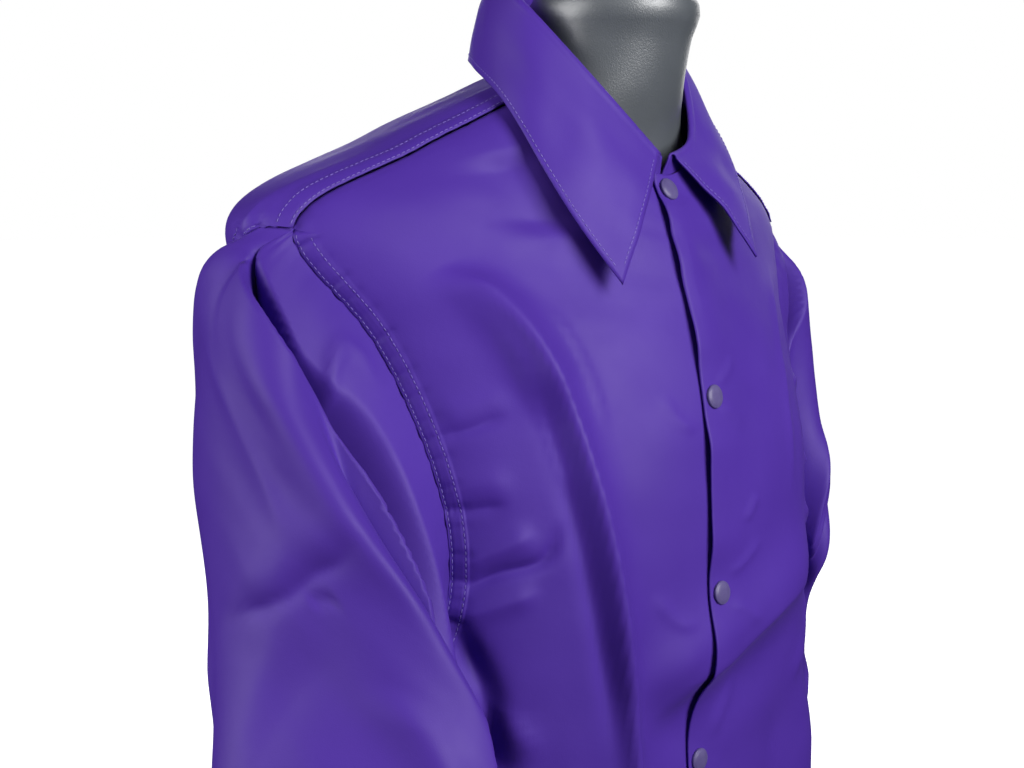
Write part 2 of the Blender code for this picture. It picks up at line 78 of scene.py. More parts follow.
# How their pitch drifts (swing, length), and how their height swings
PUCKER_DRIFTS = ((0.6, 0.047), (0.3, 0.019))
PUCKER_HEIGHT, PUCKER_SWING, PUCKER_SWING_LENGTH = 0.7, 0.3, 0.036

# Slow wander of hanging cloth: number of waves, their lengths and strengths, and its size on each piece
WANDER_WAVES = 14
WANDER_LENGTHS = (0.03, 0.11)
WANDER_PARTS = (0.3, 1.0)
WANDER_SCALE = 3.0
BODY_WANDER, SLEEVE_WANDER, COLLAR_WANDER = 0.0004, 0.0006, 0.0011
SLEEVE_WANDER_SKEW, SLEEVE_WANDER_STRETCH = 0.7, 1.5

# Seeds of what is uneven; a seam adds its side of the body
FRONT_SEED, BACK_SEED, SHOULDER_SEED, YOKE_SEED, HEAD_SEED = 11, 21, 31, 5, 40
BODY_SEED, SLEEVE_SEED, COLLAR_SEED = 3, 8, 17

# Levels up the cloth from the floor
HEM_LEVEL = 0.060
ARMPIT_LEVEL = 0.435
TIP_LEVEL = 0.738
NECK_LEVEL = 0.928

SEAM_ANGLE_AT_TIP = radians(-18)
SEAM_ANGLE_AT_NECK = radians(-17)
ARMHOLE_FRONT_BOW = radians(69)
ARMHOLE_BACK_BOW = radians(55)
ARMHOLE_LOW_POWER = 0.35
ARMHOLE_FRONT_TOP_POWER = 1.3
ARMHOLE_BACK_TOP_POWER = 0.40

SNAP_LEVELS = (0.898, 0.625, 0.491, 0.377, 0.255, 0.135)
SNAP_RADIUS = 0.0076
SNAP_HEIGHT = 0.0028
# A cap's profile from its middle to its rim, as shares of radius and height
SNAP_PROFILE = [(0.25, 0.985), (0.5, 0.93), (0.7, 0.83), (0.80, 0.74), (0.84, 0.66), (0.88, 0.64)]
SNAP_PROFILE += [(0.93, 0.62), (0.975, 0.5), (1.0, 0.28), (0.985, 0.0)]
SNAP_SEGMENTS = 48
# Where the cloth under a cap is felt for, and how far the cap rises to the highest place found
SNAP_PROBES = 12
SNAP_PROBE_REACH, SNAP_PROBE_HEIGHT = 0.85, 0.05
SNAP_SEAT = 0.6

# Mesh densities
ROWS_BELOW_ARMPIT = 60
ROWS_ARMHOLE = 300
ROWS_YOKE = 42
FRONT_COLUMNS = 84
LAP_COLUMNS = 5
HALF_BACK_COLUMNS = 56
SLEEVE_ROWS = 190
SLEEVE_COLUMNS = 200
HALF_COLLAR_COLUMNS = 90
FORM_SEGMENTS = 96
FORM_ROWS = 130
ARMHOLE_LINE_STEPS = 700
SHOULDER_LINE_STEPS = 300
ARMHOLE_EASE = 0.93
SLEEVE_ROW_POWER = 1.35
# Share of a panel's columns that keep to fixed angles, and how near the panel's narrowest place they come
FRONT_FIXED, FRONT_FIXED_REACH = 0.55, 0.85
BACK_FIXED, BACK_FIXED_GAP = 0.5, 0.15
POINTS_AT_ONCE = 4000

FOLD_GIRTH_RADIUS = 0.19
FOLD_SAMPLES = 48
FOLD_REACH, FOLD_TAPER = 3.2, 0.25
CREASE_SAMPLES = 40
CREASE_REACH, CREASE_TAPER = 5, 0.3
CREASE_SLOPE, CREASE_ROUNDING, CREASE_TOP = 1.3, 0.02, 0.141

Ring = namedtuple(
    "Ring",
    "level side_z front_z back_z half_width front_depth back_depth side_y front_full back_full",
)
BODY_RINGS = [
    Ring(0.060, 0.060, 0.060, 0.060, 0.230, 0.152, 0.132, 0.000, 2.2, 2.2),
    Ring(0.200, 0.200, 0.200, 0.200, 0.222, 0.151, 0.126, 0.000, 2.2, 2.2),
    Ring(0.350, 0.350, 0.350, 0.350, 0.211, 0.153, 0.122, 0.000, 2.2, 2.3),
    Ring(0.440, 0.440, 0.440, 0.440, 0.206, 0.156, 0.128, 0.000, 2.3, 2.4),
    Ring(0.575, 0.575, 0.570, 0.585, 0.204, 0.157, 0.140, 0.000, 2.2, 2.4),
    Ring(0.660, 0.660, 0.642, 0.685, 0.216, 0.146, 0.138, 0.000, 1.75, 2.2),
    Ring(0.738, 0.724, 0.690, 0.748, 0.246, 0.133, 0.122, 0.000, 1.35, 1.9),
    Ring(0.836, 0.772, 0.724, 0.794, 0.156, 0.121, 0.078, -0.016, 1.6, 1.9),
    Ring(0.928, 0.812, 0.752, 0.824, 0.072, 0.108, 0.020, -0.036, 2.0, 2.0),
]

# Main folds: a bent path of (degrees round from centre front, wearer's right negative; level),
# then half width and height
Fold = namedtuple("Fold", "from_angle from_level by_angle by_level to_angle to_level width height")
FOLDS = [
    Fold(-46.5, 0.729, -25.5, 0.602, -16, 0.387, 0.018, 0.006),
    Fold(-48, 0.723, -37, 0.690, -34, 0.607, 0.016, 0.006),
    Fold(-58, 0.860, -44, 0.830, -30, 0.770, 0.022, -0.005),
    Fold(-17, 0.425, 6, 0.475, 44, 0.500, 0.024, 0.009),
    Fold(-15, 0.335, 6, 0.350, 44, 0.375, 0.050, -0.011),
    Fold(-14, 0.400, -11, 0.230, -13, 0.060, 0.030, 0.012),
    Fold(-60, 0.420, -48, 0.300, -46, 0.060, 0.036, 0.012),
    Fold(-30, 0.360, -30, 0.200, -30, 0.060, 0.030, -0.010),
    Fold(50, 0.420, 44, 0.280, 42, 0.060, 0.036, 0.011),
    Fold(24, 0.360, 20, 0.200, 18, 0.060, 0.034, -0.008),
    Fold(124, 0.500, 136, 0.330, 140, 0.060, 0.034, 0.017),
    Fold(152, 0.420, 158, 0.260, 160, 0.060, 0.034, -0.014),
    Fold(176, 0.380, 178, 0.240, 181, 0.060, 0.034, 0.014),
    Fold(-124, 0.520, -134, 0.330, -138, 0.060, 0.034, 0.016),
    Fold(-150, 0.430, -156, 0.260, -159, 0.060, 0.034, -0.014),
]

Crease = namedtuple("Crease", "path width height crisp")


def crease_table(*rows):
    """Fine creases, each a row of half width, height, how crisp the ridge is, and the points of its path."""
    return [Crease(path, width, height, crisp) for width, height, crisp, *path in rows]


# Path points are degrees round the body and level
BODY_CREASES = crease_table(
    (0.007, 0.0095, 0.6, (-45.5, 0.724), (-38.5, 0.674), (-30.8, 0.607), (-24.6, 0.536),
        (-20.3, 0.471), (-17, 0.4), (-15.5, 0.33), (-15, 0.25)),
    (0.008, -0.006, 0.3, (-42.6, 0.668), (-35.0, 0.607), (-28.6, 0.536), (-22.6, 0.45), (-19.5, 0.39)),
    (0.005, 0.003, 0.6, (-44, 0.69), (-39, 0.64), (-34, 0.59), (-31.5, 0.56)),
    (0.006, 0.0022, 0.6, (-48, 0.723), (-40.4, 0.698), (-36, 0.646), (-33.9, 0.607)),
    (0.0042, -0.0021, 0.55, (-57.5, 0.601), (-50, 0.607), (-42.4, 0.618)),
    (0.009, 0.0016, 0.1, (-57.5, 0.614), (-49, 0.621), (-40.5, 0.63)),
    (0.0042, -0.0022, 0.55, (-58.0, 0.555), (-51, 0.558), (-43.2, 0.562)),
    (0.0095, 0.0018, 0.1, (-58.0, 0.57), (-50, 0.573), (-41.5, 0.575)),
    (0.005, -0.0042, 0.6, (-57.0, 0.506), (-46, 0.519), (-36.4, 0.527), (-33.0, 0.553)),
    (0.0085, 0.0036, 0.3, (-57.0, 0.52), (-46, 0.534), (-37.4, 0.545)),
    (0.008, 0.003, 0.3, (-57.0, 0.49), (-46, 0.5), (-36.0, 0.508)),
    (0.0034, 0.0014, 1.0, (-33.3, 0.701), (-28, 0.65), (-23.3, 0.6)),
    (0.008, 0.0034, 0.45, (-15.2, 0.409), (-6.8, 0.426), (-0.3, 0.441),
        (4.4, 0.448), (17.4, 0.468), (42.1, 0.486)),
    (0.03, -0.01, 0.1, (-13.0, 0.384), (-6.0, 0.4), (2.0, 0.417), (17.0, 0.43), (38.0, 0.446)),
    (0.004, 0.0022, 0.6, (9.0, 0.424), (5.0, 0.407), (1.4, 0.389)),
    (0.0035, 0.0018, 0.6, (9.7, 0.552), (7.8, 0.542), (5.5, 0.532)),
    (0.004, 0.0014, 0.5, (1.0, 0.5), (6.0, 0.508), (11.0, 0.52)),
    (0.004, 0.0014, 0.5, (1.0, 0.484), (5.0, 0.476), (9.0, 0.462)),
    (0.004, 0.0012, 0.5, (1.0, 0.632), (6.0, 0.642), (10.0, 0.656)),
    (0.004, 0.0012, 0.5, (1.0, 0.617), (5.0, 0.61), (8.0, 0.598)),
    (0.004, 0.0016, 0.5, (1.0, 0.37), (6.0, 0.36), (10.0, 0.34)),
    (0.0045, 0.0014, 0.4, (-4.0, 0.47), (-9.0, 0.48), (-14.0, 0.5)),
    (0.0045, 0.0012, 0.4, (-4.0, 0.6), (-9.0, 0.612), (-13.0, 0.632)),
    (0.007, 0.0026, 0.5, (-30, 0.4), (-26, 0.34), (-24, 0.27)),
    (0.008, 0.0034, 0.5, (-52, 0.47), (-44, 0.43), (-34, 0.405)),
    (0.009, -0.006, 0.3, (-60, 0.44), (-48, 0.41), (-38, 0.388)),
    (0.01, -0.012, 0.2, (-58, 0.5), (-52, 0.47), (-47, 0.44), (-46, 0.405), (-45, 0.37)),
    (0.008, 0.0024, 0.4, (-22, 0.3), (-18, 0.2), (-19, 0.1)),
    (0.005, 0.0022, 0.5, (56, 0.604), (49, 0.612), (43, 0.618)),
    (0.0055, 0.0026, 0.5, (56.5, 0.555), (50, 0.557), (43, 0.555)),
    (0.0065, 0.0032, 0.5, (57, 0.505), (46, 0.515), (36, 0.528)),
    (0.006, -0.002, 0.3, (57, 0.53), (49, 0.536), (41, 0.54)),
    (0.008, 0.0024, 0.6, (44, 0.72), (36, 0.672), (29, 0.604), (24, 0.53)),
    (0.008, 0.003, 0.5, (52, 0.468), (42, 0.43), (30, 0.4)),
    (0.008, 0.0024, 0.4, (30, 0.3), (26, 0.2), (27, 0.1)),
    (0.009, 0.0056, 0.5, (118, 0.62), (132, 0.56), (146, 0.52)),
    (0.009, -0.005, 0.3, (116, 0.57), (130, 0.5), (142, 0.44)),
    (0.008, 0.0048, 0.5, (114, 0.48), (126, 0.43), (140, 0.39)),
    (0.009, 0.0054, 0.5, (-118, 0.616), (-130, 0.566), (-147, 0.512)),
    (0.009, -0.005, 0.3, (-116, 0.56), (-130, 0.494), (-141, 0.436)),
    (0.008, 0.0048, 0.5, (-114, 0.476), (-127, 0.424), (-141, 0.38)),
    (0.012, 0.004, 0.3, (-140, 0.79), (-160, 0.74), (-178, 0.725)),
    (0.012, 0.004, 0.3, (140, 0.792), (160, 0.744), (176, 0.726)),
    (0.008, 0.0026, 0.4, (168, 0.42), (172, 0.3), (169, 0.18)),
    (0.008, 0.0024, 0.4, (-168, 0.4), (-165, 0.28), (-168, 0.15)),
)

# Sleeve sections: flattened tubes, turned so that the flat side faces forward as they go down
Section = namedtuple("Section", "z x y half_wide half_thick turn")
RIGHT_SLEEVE = [
    Section(0.720, 0.222, 0.002, 0.072, 0.059, 0),
    Section(0.680, 0.226, -0.004, 0.073, 0.055, 2),
    Section(0.620, 0.2345, -0.0205, 0.070, 0.046, 7),
    Section(0.570, 0.240, -0.040, 0.0715, 0.042, 14),
    Section(0.500, 0.243, -0.072, 0.0725, 0.038, 29),
    Section(0.405, 0.256, -0.114, 0.0825, 0.036, 43),
    Section(0.280, 0.274, -0.133, 0.076, 0.036, 44),
    Section(0.170, 0.282, -0.142, 0.068, 0.034, 44),
    Section(0.105, 0.280, -0.150, 0.062, 0.033, 44),
]
LEFT_SLEEVE = [
    Section(0.720, 0.220, 0.004, 0.070, 0.053, 0),
    Section(0.680, 0.221, 0.007, 0.069, 0.050, 2),
    Section(0.620, 0.230, 0.010, 0.068, 0.043, 4),
    Section(0.570, 0.241, 0.014, 0.072, 0.040, 5),
    Section(0.505, 0.253, 0.011, 0.076, 0.041, 8),
    Section(0.460, 0.258, 0.013, 0.077, 0.038, 8),
    Section(0.425, 0.261, 0.030, 0.075, 0.036, 6),
    Section(0.370, 0.264, 0.038, 0.076, 0.036, 4),
    Section(0.250, 0.268, 0.046, 0.074, 0.035, 4),
    Section(0.170, 0.269, 0.050, 0.067, 0.034, 4),
    Section(0.105, 0.268, 0.052, 0.061, 0.033, 4),
]
SLEEVE_BLEND = 0.19
SLEEVE_BLEND_POWER = 4
CUFF_Z = 0.105

# Pleats down a sleeve's front: how far down the sleeve, where round it in degrees, width, height
Pleat = namedtuple("Pleat", "from_share from_turn to_share to_turn width height")
SLEEVE_PLEATS = [
    Pleat(0.02, 166, 0.30, 112, 24, 0.010),
    Pleat(0.00, 130, 0.30, 72, 25, -0.022),
]
PLEAT_START, PLEAT_END = 0.12, (0.5, 1.25)

# The full head of a sleeve behind the shoulder seam: a bump over a dip, in shares down the sleeve
HEAD_FULLNESS = 0.006
HEAD_TURN, HEAD_SPREAD = 215, 35
HEAD_START = 0.02
HEAD_BUMP, HEAD_BUMP_WIDTH = 0.028, 0.022
HEAD_DIP, HEAD_DIP_WIDTH = 0.105, 0.045
HEAD_PUCKER_PITCH, HEAD_PUCKER_DEPTH, HEAD_PUCKER_REACH = 0.010, 0.0008, 0.012

SLEEVE_LENGTH = 0.58
SLEEVE_RADIUS = 0.062
SLEEVE_HELD = 0.025
# Path points are shares down the sleeve and degrees of turn
RIGHT_SLEEVE_CREASES = crease_table(
    (0.0045, -0.0034, 0.8, (0.318, 236), (0.336, 205), (0.332, 186), (0.305, 166), (0.264, 144), (0.17, 118)),
    (0.015, 0.0034, 0.2, (0.296, 236), (0.312, 205), (0.308, 186), (0.28, 166), (0.238, 144), (0.15, 122)),
    (0.004, -0.002, 0.6, (0.33, 172), (0.322, 164), (0.318, 156)),
    (0.03, -0.006, 0.0, (0.37, 205), (0.41, 185), (0.46, 168), (0.52, 160)),
    (0.016, 0.004, 0.2, (0.38, 150), (0.44, 140), (0.52, 135)),
    (0.003, 0.003, 0.5, (0.072, 116), (0.04, 122), (0.018, 123), (0.01, 117), (0.016, 110)),
    (0.008, 0.0022, 0.4, (0.09, 192), (0.16, 176), (0.23, 168), (0.29, 172)),
    (0.009, -0.0016, 0.3, (0.05, 178), (0.12, 164), (0.2, 152)),
    (0.01, 0.0044, 0.5, (0.56, 210), (0.58, 180), (0.55, 150), (0.5, 125)),
    (0.008, -0.004, 0.4, (0.59, 212), (0.61, 182), (0.58, 150), (0.53, 124)),
    (0.011, 0.0036, 0.4, (0.74, 220), (0.78, 185), (0.75, 150)),
    (0.01, 0.004, 0.5, (0.4, 330), (0.43, 300), (0.41, 265)),
    (0.008, -0.0034, 0.4, (0.44, 335), (0.47, 300), (0.45, 262)),
    (0.011, 0.004, 0.4, (0.62, 340), (0.66, 300), (0.63, 260)),
    (0.012, 0.0034, 0.3, (0.12, 290), (0.22, 270), (0.32, 262)),
    (0.009, 0.003, 0.4, (0.2, 20), (0.26, 45), (0.3, 66)),
)
LEFT_SLEEVE_CREASES = crease_table(
    (0.008, 0.006, 0.5, (0.19, 45), (0.225, 90), (0.21, 135)),
    (0.012, -0.0085, 0.4, (0.25, 45), (0.285, 90), (0.27, 135)),
    (0.007, -0.004, 0.6, (0.34, 150), (0.36, 185), (0.33, 225)),
    (0.012, 0.0044, 0.3, (0.31, 150), (0.33, 185), (0.3, 225)),
    (0.008, 0.0022, 0.4, (0.08, 196), (0.16, 180), (0.24, 176)),
    (0.01, 0.0044, 0.5, (0.52, 60), (0.55, 100), (0.53, 140)),
    (0.008, -0.004, 0.4, (0.55, 60), (0.585, 100), (0.56, 142)),
    (0.011, 0.0036, 0.4, (0.7, 130), (0.73, 170), (0.7, 215)),
    (0.01, 0.004, 0.5, (0.42, 330), (0.45, 298), (0.43, 262)),
    (0.008, -0.0034, 0.4, (0.46, 332), (0.49, 298), (0.47, 260)),
    (0.011, 0.004, 0.4, (0.64, 335), (0.67, 300), (0.65, 262)),
    (0.012, 0.0034, 0.3, (0.12, 290), (0.22, 272), (0.31, 265)),
)

# The edge of the flap that the flattened sleeve makes beside the armhole: where it runs, how far it stands out,
# and the depth and width of the gap under it. Edge and gap are shares of the sizes below.
FlapPoint = namedtuple("FlapPoint", "share turn edge gap gap_width")
FLAP_POINTS = [
    FlapPoint(0.020, 186, 0.00, 0.00, 0.008),
    FlapPoint(0.048, 175, 0.60, 0.75, 0.009),
    FlapPoint(0.072, 157, 1.00, 1.00, 0.009),
    FlapPoint(0.089, 137, 0.95, 1.00, 0.010),
    FlapPoint(0.086, 117, 0.85, 0.85, 0.013),
    FlapPoint(0.084, 100, 0.80, 1.00, 0.022),
    FlapPoint(0.118, 87, 0.70, 1.05, 0.024),
    FlapPoint(0.200, 90, 0.55, 0.70, 0.017),
    FlapPoint(0.300, 98, 0.30, 0.30, 0.014),
    FlapPoint(0.400, 106, 0.00, 0.00, 0.010),
]
FLAP_SAMPLES = 90
FLAP_REACH = 0.05
FLAP_HEADING_STEP = 0.01
FLAP_RISE, FLAP_RISE_OUTER, FLAP_RISE_INNER = 0.006, 0.016, 0.0045
FLAP_OVERHANG, FLAP_OVER_OUTER, FLAP_OVER_INNER = 0.014, 0.012, 0.0055
FLAP_TUCK, FLAP_TUCK_FROM, FLAP_TUCK_TO = 0.006, (0.003, 0.007), (0.008, 0.022)
FLAP_GAP, FLAP_LIP = 0.040, (0.001, 0.010)

CollarStation = namedtuple("CollarStation", "share roll_x roll_y roll_z edge_x edge_y edge_z")
COLLAR_STATIONS = [
    CollarStation(0.00, 0.006, -0.1125, 0.764, 0.067, -0.1415, 0.690),
    CollarStation(0.22, 0.048, -0.0980, 0.806, 0.094, -0.1060, 0.748),
    CollarStation(0.45, 0.074, -0.0640, 0.852, 0.098, -0.0620, 0.800),
    CollarStation(0.65, 0.066, -0.0280, 0.874, 0.080, -0.0180, 0.822),
    CollarStation(0.84, 0.036, -0.0010, 0.884, 0.046, 0.0190, 0.832),
    CollarStation(1.00, 0.000, 0.0080, 0.886, 0.000, 0.0340, 0.836),
]
COLLAR_FOLD_RADIUS = 0.0035
COLLAR_SEAM_RISE = 0.0012
COLLAR_LEFT_POINT_RISE = 0.014
COLLAR_LEFT_POINT_FADE = 0.22
COLLAR_LEFT_ROLL_DROP = 0.030
COLLAR_LEFT_ROLL_TUCK = 0.006
COLLAR_LEFT_ROLL_FADE = 0.60
COLLAR_STAND_ROWS = 12
COLLAR_FOLD_ROWS = 9
COLLAR_LEAF_ROWS = 36
COLLAR_STITCH_INSET = 0.0038
COLLAR_START = radians(0.6)
COLLAR_BULGE = 0.0016
# How far the points lie in towards the front, and how far from a point that ends
COLLAR_POINT_TUCK, COLLAR_POINT_REACH = 0.007, (0.02, 0.16)
# Columns over which the spacing at a front edge is measured, and the most that its stitches lie in
COLLAR_SPACING_COLUMNS, COLLAR_INSET_COLUMNS = 3, 12

FormRing = namedtuple("FormRing", "z half_width front_depth back_depth centre_y")
FORM_RINGS = [
    FormRing(0.000, 0.160, 0.098, 0.098, 0.000),
    FormRing(0.008, 0.166, 0.104, 0.104, 0.000),
    FormRing(0.100, 0.172, 0.108, 0.108, 0.000),
    FormRing(0.230, 0.158, 0.106, 0.100, 0.000),
    FormRing(0.330, 0.152, 0.110, 0.096, 0.000),
    FormRing(0.450, 0.166, 0.126, 0.104, 0.000),
    FormRing(0.560, 0.176, 0.128, 0.112, 0.000),
    FormRing(0.640, 0.172, 0.112, 0.110, 0.000),
    FormRing(0.690, 0.160, 0.092, 0.090, -0.006),
    FormRing(0.725, 0.136, 0.074, 0.072, -0.016),
    FormRing(0.755, 0.104, 0.060, 0.060, -0.030),
    FormRing(0.782, 0.074, 0.052, 0.050, -0.044),
    FormRing(0.806, 0.060, 0.054, 0.050, -0.052),
    FormRing(0.840, 0.055, 0.056, 0.051, -0.060),
    FormRing(0.862, 0.055, 0.058, 0.052, -0.065),
    FormRing(0.870, 0.050, 0.053, 0.047, -0.065),
]
FORM_FOOT_LEVELS = (0.0, 0.002, 0.004)
FORM_RIM_START, FORM_RIM_ROWS = 0.863, 9
FORM_CAP_SHRINK = (0.9, 0.6, 0.3, 0.03)

# Camera, fitted to the photograph's frame of 1024 x 768
CAMERA_ROUND = radians(45.5)
CAMERA_AWAY = 1.15
CAMERA_HEIGHT = 0.735
CAMERA_YAW = radians(0.96)
CAMERA_PITCH = radians(6.17)
FOCAL_PIXELS = 1666
FRAME_WIDTH_PIXELS = 1024
SENSOR_WIDTH = 36

FLOOR_SIZE = 30.0
FLOOR_DROP = 0.0005


# ---- Curves and surfaces


def smoothstep(low, high, value):
    share = np.clip((value - low) / (high - low), 0, 1)
    return share * share * (3 - 2 * share)


def bell(value):
    return np.exp(-(value**2))


def run_along(line):
    """Length along a line of points, at each point."""
    return np.concatenate([[0], np.cumsum(np.linalg.norm(np.diff(line, axis=0), axis=1))])


def through(knots, values, at):
    """A smooth curve through table values, read at the given places."""
    knots, values, at = np.asarray(knots, float), np.asarray(values, float), np.asarray(at, float)
    slopes = np.gradient(values, knots, axis=0)
    i = np.clip(np.searchsorted(knots, at) - 1, 0, len(knots) - 2)
    span = knots[i + 1] - knots[i]
    t = np.clip((at - knots[i]) / span, 0, 1)
    if values.ndim > 1:
        t, span = t[..., None], span[..., None]
    return (
        (2 * t**3 - 3 * t**2 + 1) * values[i]
        + (t**3 - 2 * t**2 + t) * span * slopes[i]
        + (3 * t**2 - 2 * t**3) * values[i + 1]
        + (t**3 - t**2) * span * slopes[i + 1]
    )


def read_rows(table, at):
    """A table of named rows, ordered by their first value, read as smooth curves at the given places."""
    return type(table[0])(*np.moveaxis(through([row[0] for row in table], table, at), -1, 0))


def signed_power(value, power):
    return np.sign(value) * np.abs(value) ** power


def unit(vectors):
    return vectors / np.linalg.norm(vectors, axis=-1, keepdims=True)


def plain_body(level, angle, side):
    """A point of the smooth body: angle -90 degrees is centre front, 0 the side, 90 centre back."""
    ring = read_rows(BODY_RINGS, level)
    across, along = np.cos(angle), np.sin(angle)
    in_front = along < 0
    full = np.where(in_front, ring.front_full, ring.back_full)
    depth = np.where(in_front, ring.front_depth, ring.back_depth)
    end_z = np.where(in_front, ring.front_z, ring.back_z)
    x = side * ring.half_width * signed_power(across, 2 / full)
    y = ring.side_y * (1 - along**2) + depth * signed_power(along, 2 / full)
    z = ring.side_z + (end_z - ring.side_z) * along**2
    return np.stack([x, y, z], axis=-1)


def body_normal(level, angle, side):
    step = 0.002
    up = plain_body(level + step, angle, side) - plain_body(level - step, angle, side)
    round_it = plain_body(level, angle + step, side) - plain_body(level, angle - step, side)
    return unit(side * np.cross(round_it, up))


def near_path(first, second, line):
    """Distance from a bent line in two surface coordinates, signed share along it, and which side."""
    starts, steps = line[:-1], np.diff(line, axis=0)
    from_start = np.stack([first, second], axis=-1)[:, None, :] - starts
    share = np.clip((from_start * steps).sum(-1) / (steps**2).sum(-1), 0, 1)
    off = from_start - share[..., None] * steps
    away = np.linalg.norm(off, axis=-1)
    piece = away.argmin(axis=-1)
    rows = np.arange(len(piece))
    place = (piece + share[rows, piece]) / len(steps)
    step, gap = steps[piece], off[rows, piece]
    turned = step[:, 0] * gap[:, 1] - step[:, 1] * gap[:, 0]
    return away[rows, piece], place, np.where(turned < 0, -1.0, 1.0)


def close_to(first, second, line, reach):
    return (
        (first > line[:, 0].min() - reach)
        & (first < line[:, 0].max() + reach)
        & (second > line[:, 1].min() - reach)
        & (second < line[:, 1].max() + reach)
    )


def wrapped(round_degrees, about):
    """Degrees round the body, brought next to the given place."""
    return np.mod(round_degrees - about + 180, 360) - 180 + about


def main_folds(level, round_degrees):
    """How far the main folds lift the cloth, each a soft ridge or trough along a bent path."""
    total = np.zeros(np.shape(level))
    t = np.linspace(0, 1, FOLD_SAMPLES)
    scale = FOLD_GIRTH_RADIUS * pi / 180
    for fold in FOLDS:
        weights = ((1 - t) ** 2, 2 * t * (1 - t), t**2)
        path_angle = np.dot((fold.from_angle, fold.by_angle, fold.to_angle), weights)
        path_level = np.dot((fold.from_level, fold.by_level, fold.to_level), weights)
        line = np.stack([path_angle * scale, path_level], axis=-1)
        first = wrapped(round_degrees, fold.by_angle) * scale
        near = close_to(first, level, line, FOLD_REACH * fold.width)
        if not near.any():
            continue
        away, place, _ = near_path(first[near], level[near], line)
        taper = smoothstep(0, FOLD_TAPER, place)
        if fold.to_level > HEM_LEVEL:
            taper = taper * smoothstep(0, FOLD_TAPER, 1 - place)
        total[near] += fold.height * taper * bell(away / fold.width)
    return total


def along_creases(first, second, creases):
    """Crisp creases over two surface coordinates in metres. Paths are in the same coordinates."""
    total = np.zeros(np.shape(first))
    for path, width, height, crisp in creases:
        path = np.asarray(path, float)
        line = through(np.linspace(0, 1, len(path)), path, np.linspace(0, 1, CREASE_SAMPLES))
        near = close_to(first, second, line, CREASE_REACH * width)
        if not near.any():
            continue
        away, place, _ = near_path(first[near], second[near], line)
        taper = smoothstep(0, CREASE_TAPER, place) * smoothstep(0, CREASE_TAPER, 1 - place)
        span = away / width
        sharp = np.exp(-CREASE_SLOPE * (np.sqrt(span**2 + CREASE_ROUNDING) - CREASE_TOP))
        total[near] += height * taper * (crisp * sharp + (1 - crisp) * bell(span))
    return total


def body_creases(level, round_degrees):
    scale = FOLD_GIRTH_RADIUS * pi / 180
    total = np.zeros(np.shape(level))
    for crease in BODY_CREASES:
        in_metres = crease._replace(path=[(a * scale, z) for a, z in crease.path])
        first = wrapped(round_degrees, crease.path[0][0]) * scale
        total += along_creases(first, level, [in_metres])
    return total


def unevenness(first, second, size, seed):
    """Slow wander of hanging cloth, from a few fixed waves."""
    waves = np.random.default_rng(seed)
    total = np.zeros(np.shape(first))
    for _ in range(WANDER_WAVES):
        heading, length = waves.uniform(0, 2 * pi), waves.uniform(*WANDER_LENGTHS)
        shift, part = waves.uniform(0, 2 * pi), waves.uniform(*WANDER_PARTS)
        across = first * cos(heading) + second * sin(heading)
        total += part * np.sin(2 * pi * across / length + shift)
    return size * total / WANDER_SCALE


def body_offset(level, angle, side):
    round_degrees = side * (np.degrees(angle) + 90)
    total = main_folds(level, round_degrees) + body_creases(level, round_degrees)
    return total + unevenness(FOLD_GIRTH_RADIUS * np.radians(round_degrees), level, BODY_WANDER, BODY_SEED)


def body(level, angle, side, lift=0.0):
    """A point of the draped body, moved out by lift, and the cloth's direction there."""
    level, angle = np.broadcast_arrays(np.asarray(level, float), np.asarray(angle, float))
    normal = body_normal(level, angle, side)
    moved = normal * (body_offset(level, angle, side) + lift)[..., None]
    return plain_body(level, angle, side) + moved, normal


def armhole_angle(level, on_back):
    """The armhole's edge: it bows onto the panel between the armpit and the shoulder tip."""
    share = np.clip((level - ARMPIT_LEVEL) / (TIP_LEVEL - ARMPIT_LEVEL), 0, 1)
    bow = np.where(on_back, ARMHOLE_BACK_BOW, -ARMHOLE_FRONT_BOW)
    top_power = np.where(on_back, ARMHOLE_BACK_TOP_POWER, ARMHOLE_FRONT_TOP_POWER)
    return SEAM_ANGLE_AT_TIP * share + bow * share**ARMHOLE_LOW_POWER * (1 - share) ** top_power


def armhole_levels(steps):
    share = np.linspace(0, 1, steps + 1)
    share = ARMHOLE_EASE * (1 - np.cos(pi * share)) / 2 + (1 - ARMHOLE_EASE) * share
    return ARMPIT_LEVEL + (TIP_LEVEL - ARMPIT_LEVEL) * share


def row_levels():
    below = np.linspace(HEM_LEVEL, ARMPIT_LEVEL, ROWS_BELOW_ARMPIT + 1)
    yoke = np.linspace(TIP_LEVEL, NECK_LEVEL, ROWS_YOKE + 1)
    return np.concatenate([below[:-1], armhole_levels(ROWS_ARMHOLE), yoke[1:]])


def panel_edge(level, on_back):
    """The angle of a panel's outer edge: side seam, then armhole, then shoulder seam."""
    in_yoke = np.clip((level - TIP_LEVEL) / (NECK_LEVEL - TIP_LEVEL), 0, 1)
    seam = SEAM_ANGLE_AT_TIP + (SEAM_ANGLE_AT_NECK - SEAM_ANGLE_AT_TIP) * in_yoke
    return np.where(level >= TIP_LEVEL, seam, armhole_angle(level, on_back))


def from_line(points, line):
    """Distance of each point from a line of points, and how far along the line it lies."""
    flat, run = points.reshape(-1, 3), run_along(line)
    away, place = np.empty(len(flat)), np.empty(len(flat))
    for start in range(0, len(flat), POINTS_AT_ONCE):
        part = slice(start, start + POINTS_AT_ONCE)
        gaps = np.linalg.norm(flat[part, None, :] - line[None], axis=-1)
        nearest = gaps.argmin(axis=1)
        away[part] = gaps[np.arange(len(gaps)), nearest]
        place[part] = run[nearest]
    return away.reshape(points.shape[:-1]), place.reshape(points.shape[:-1])


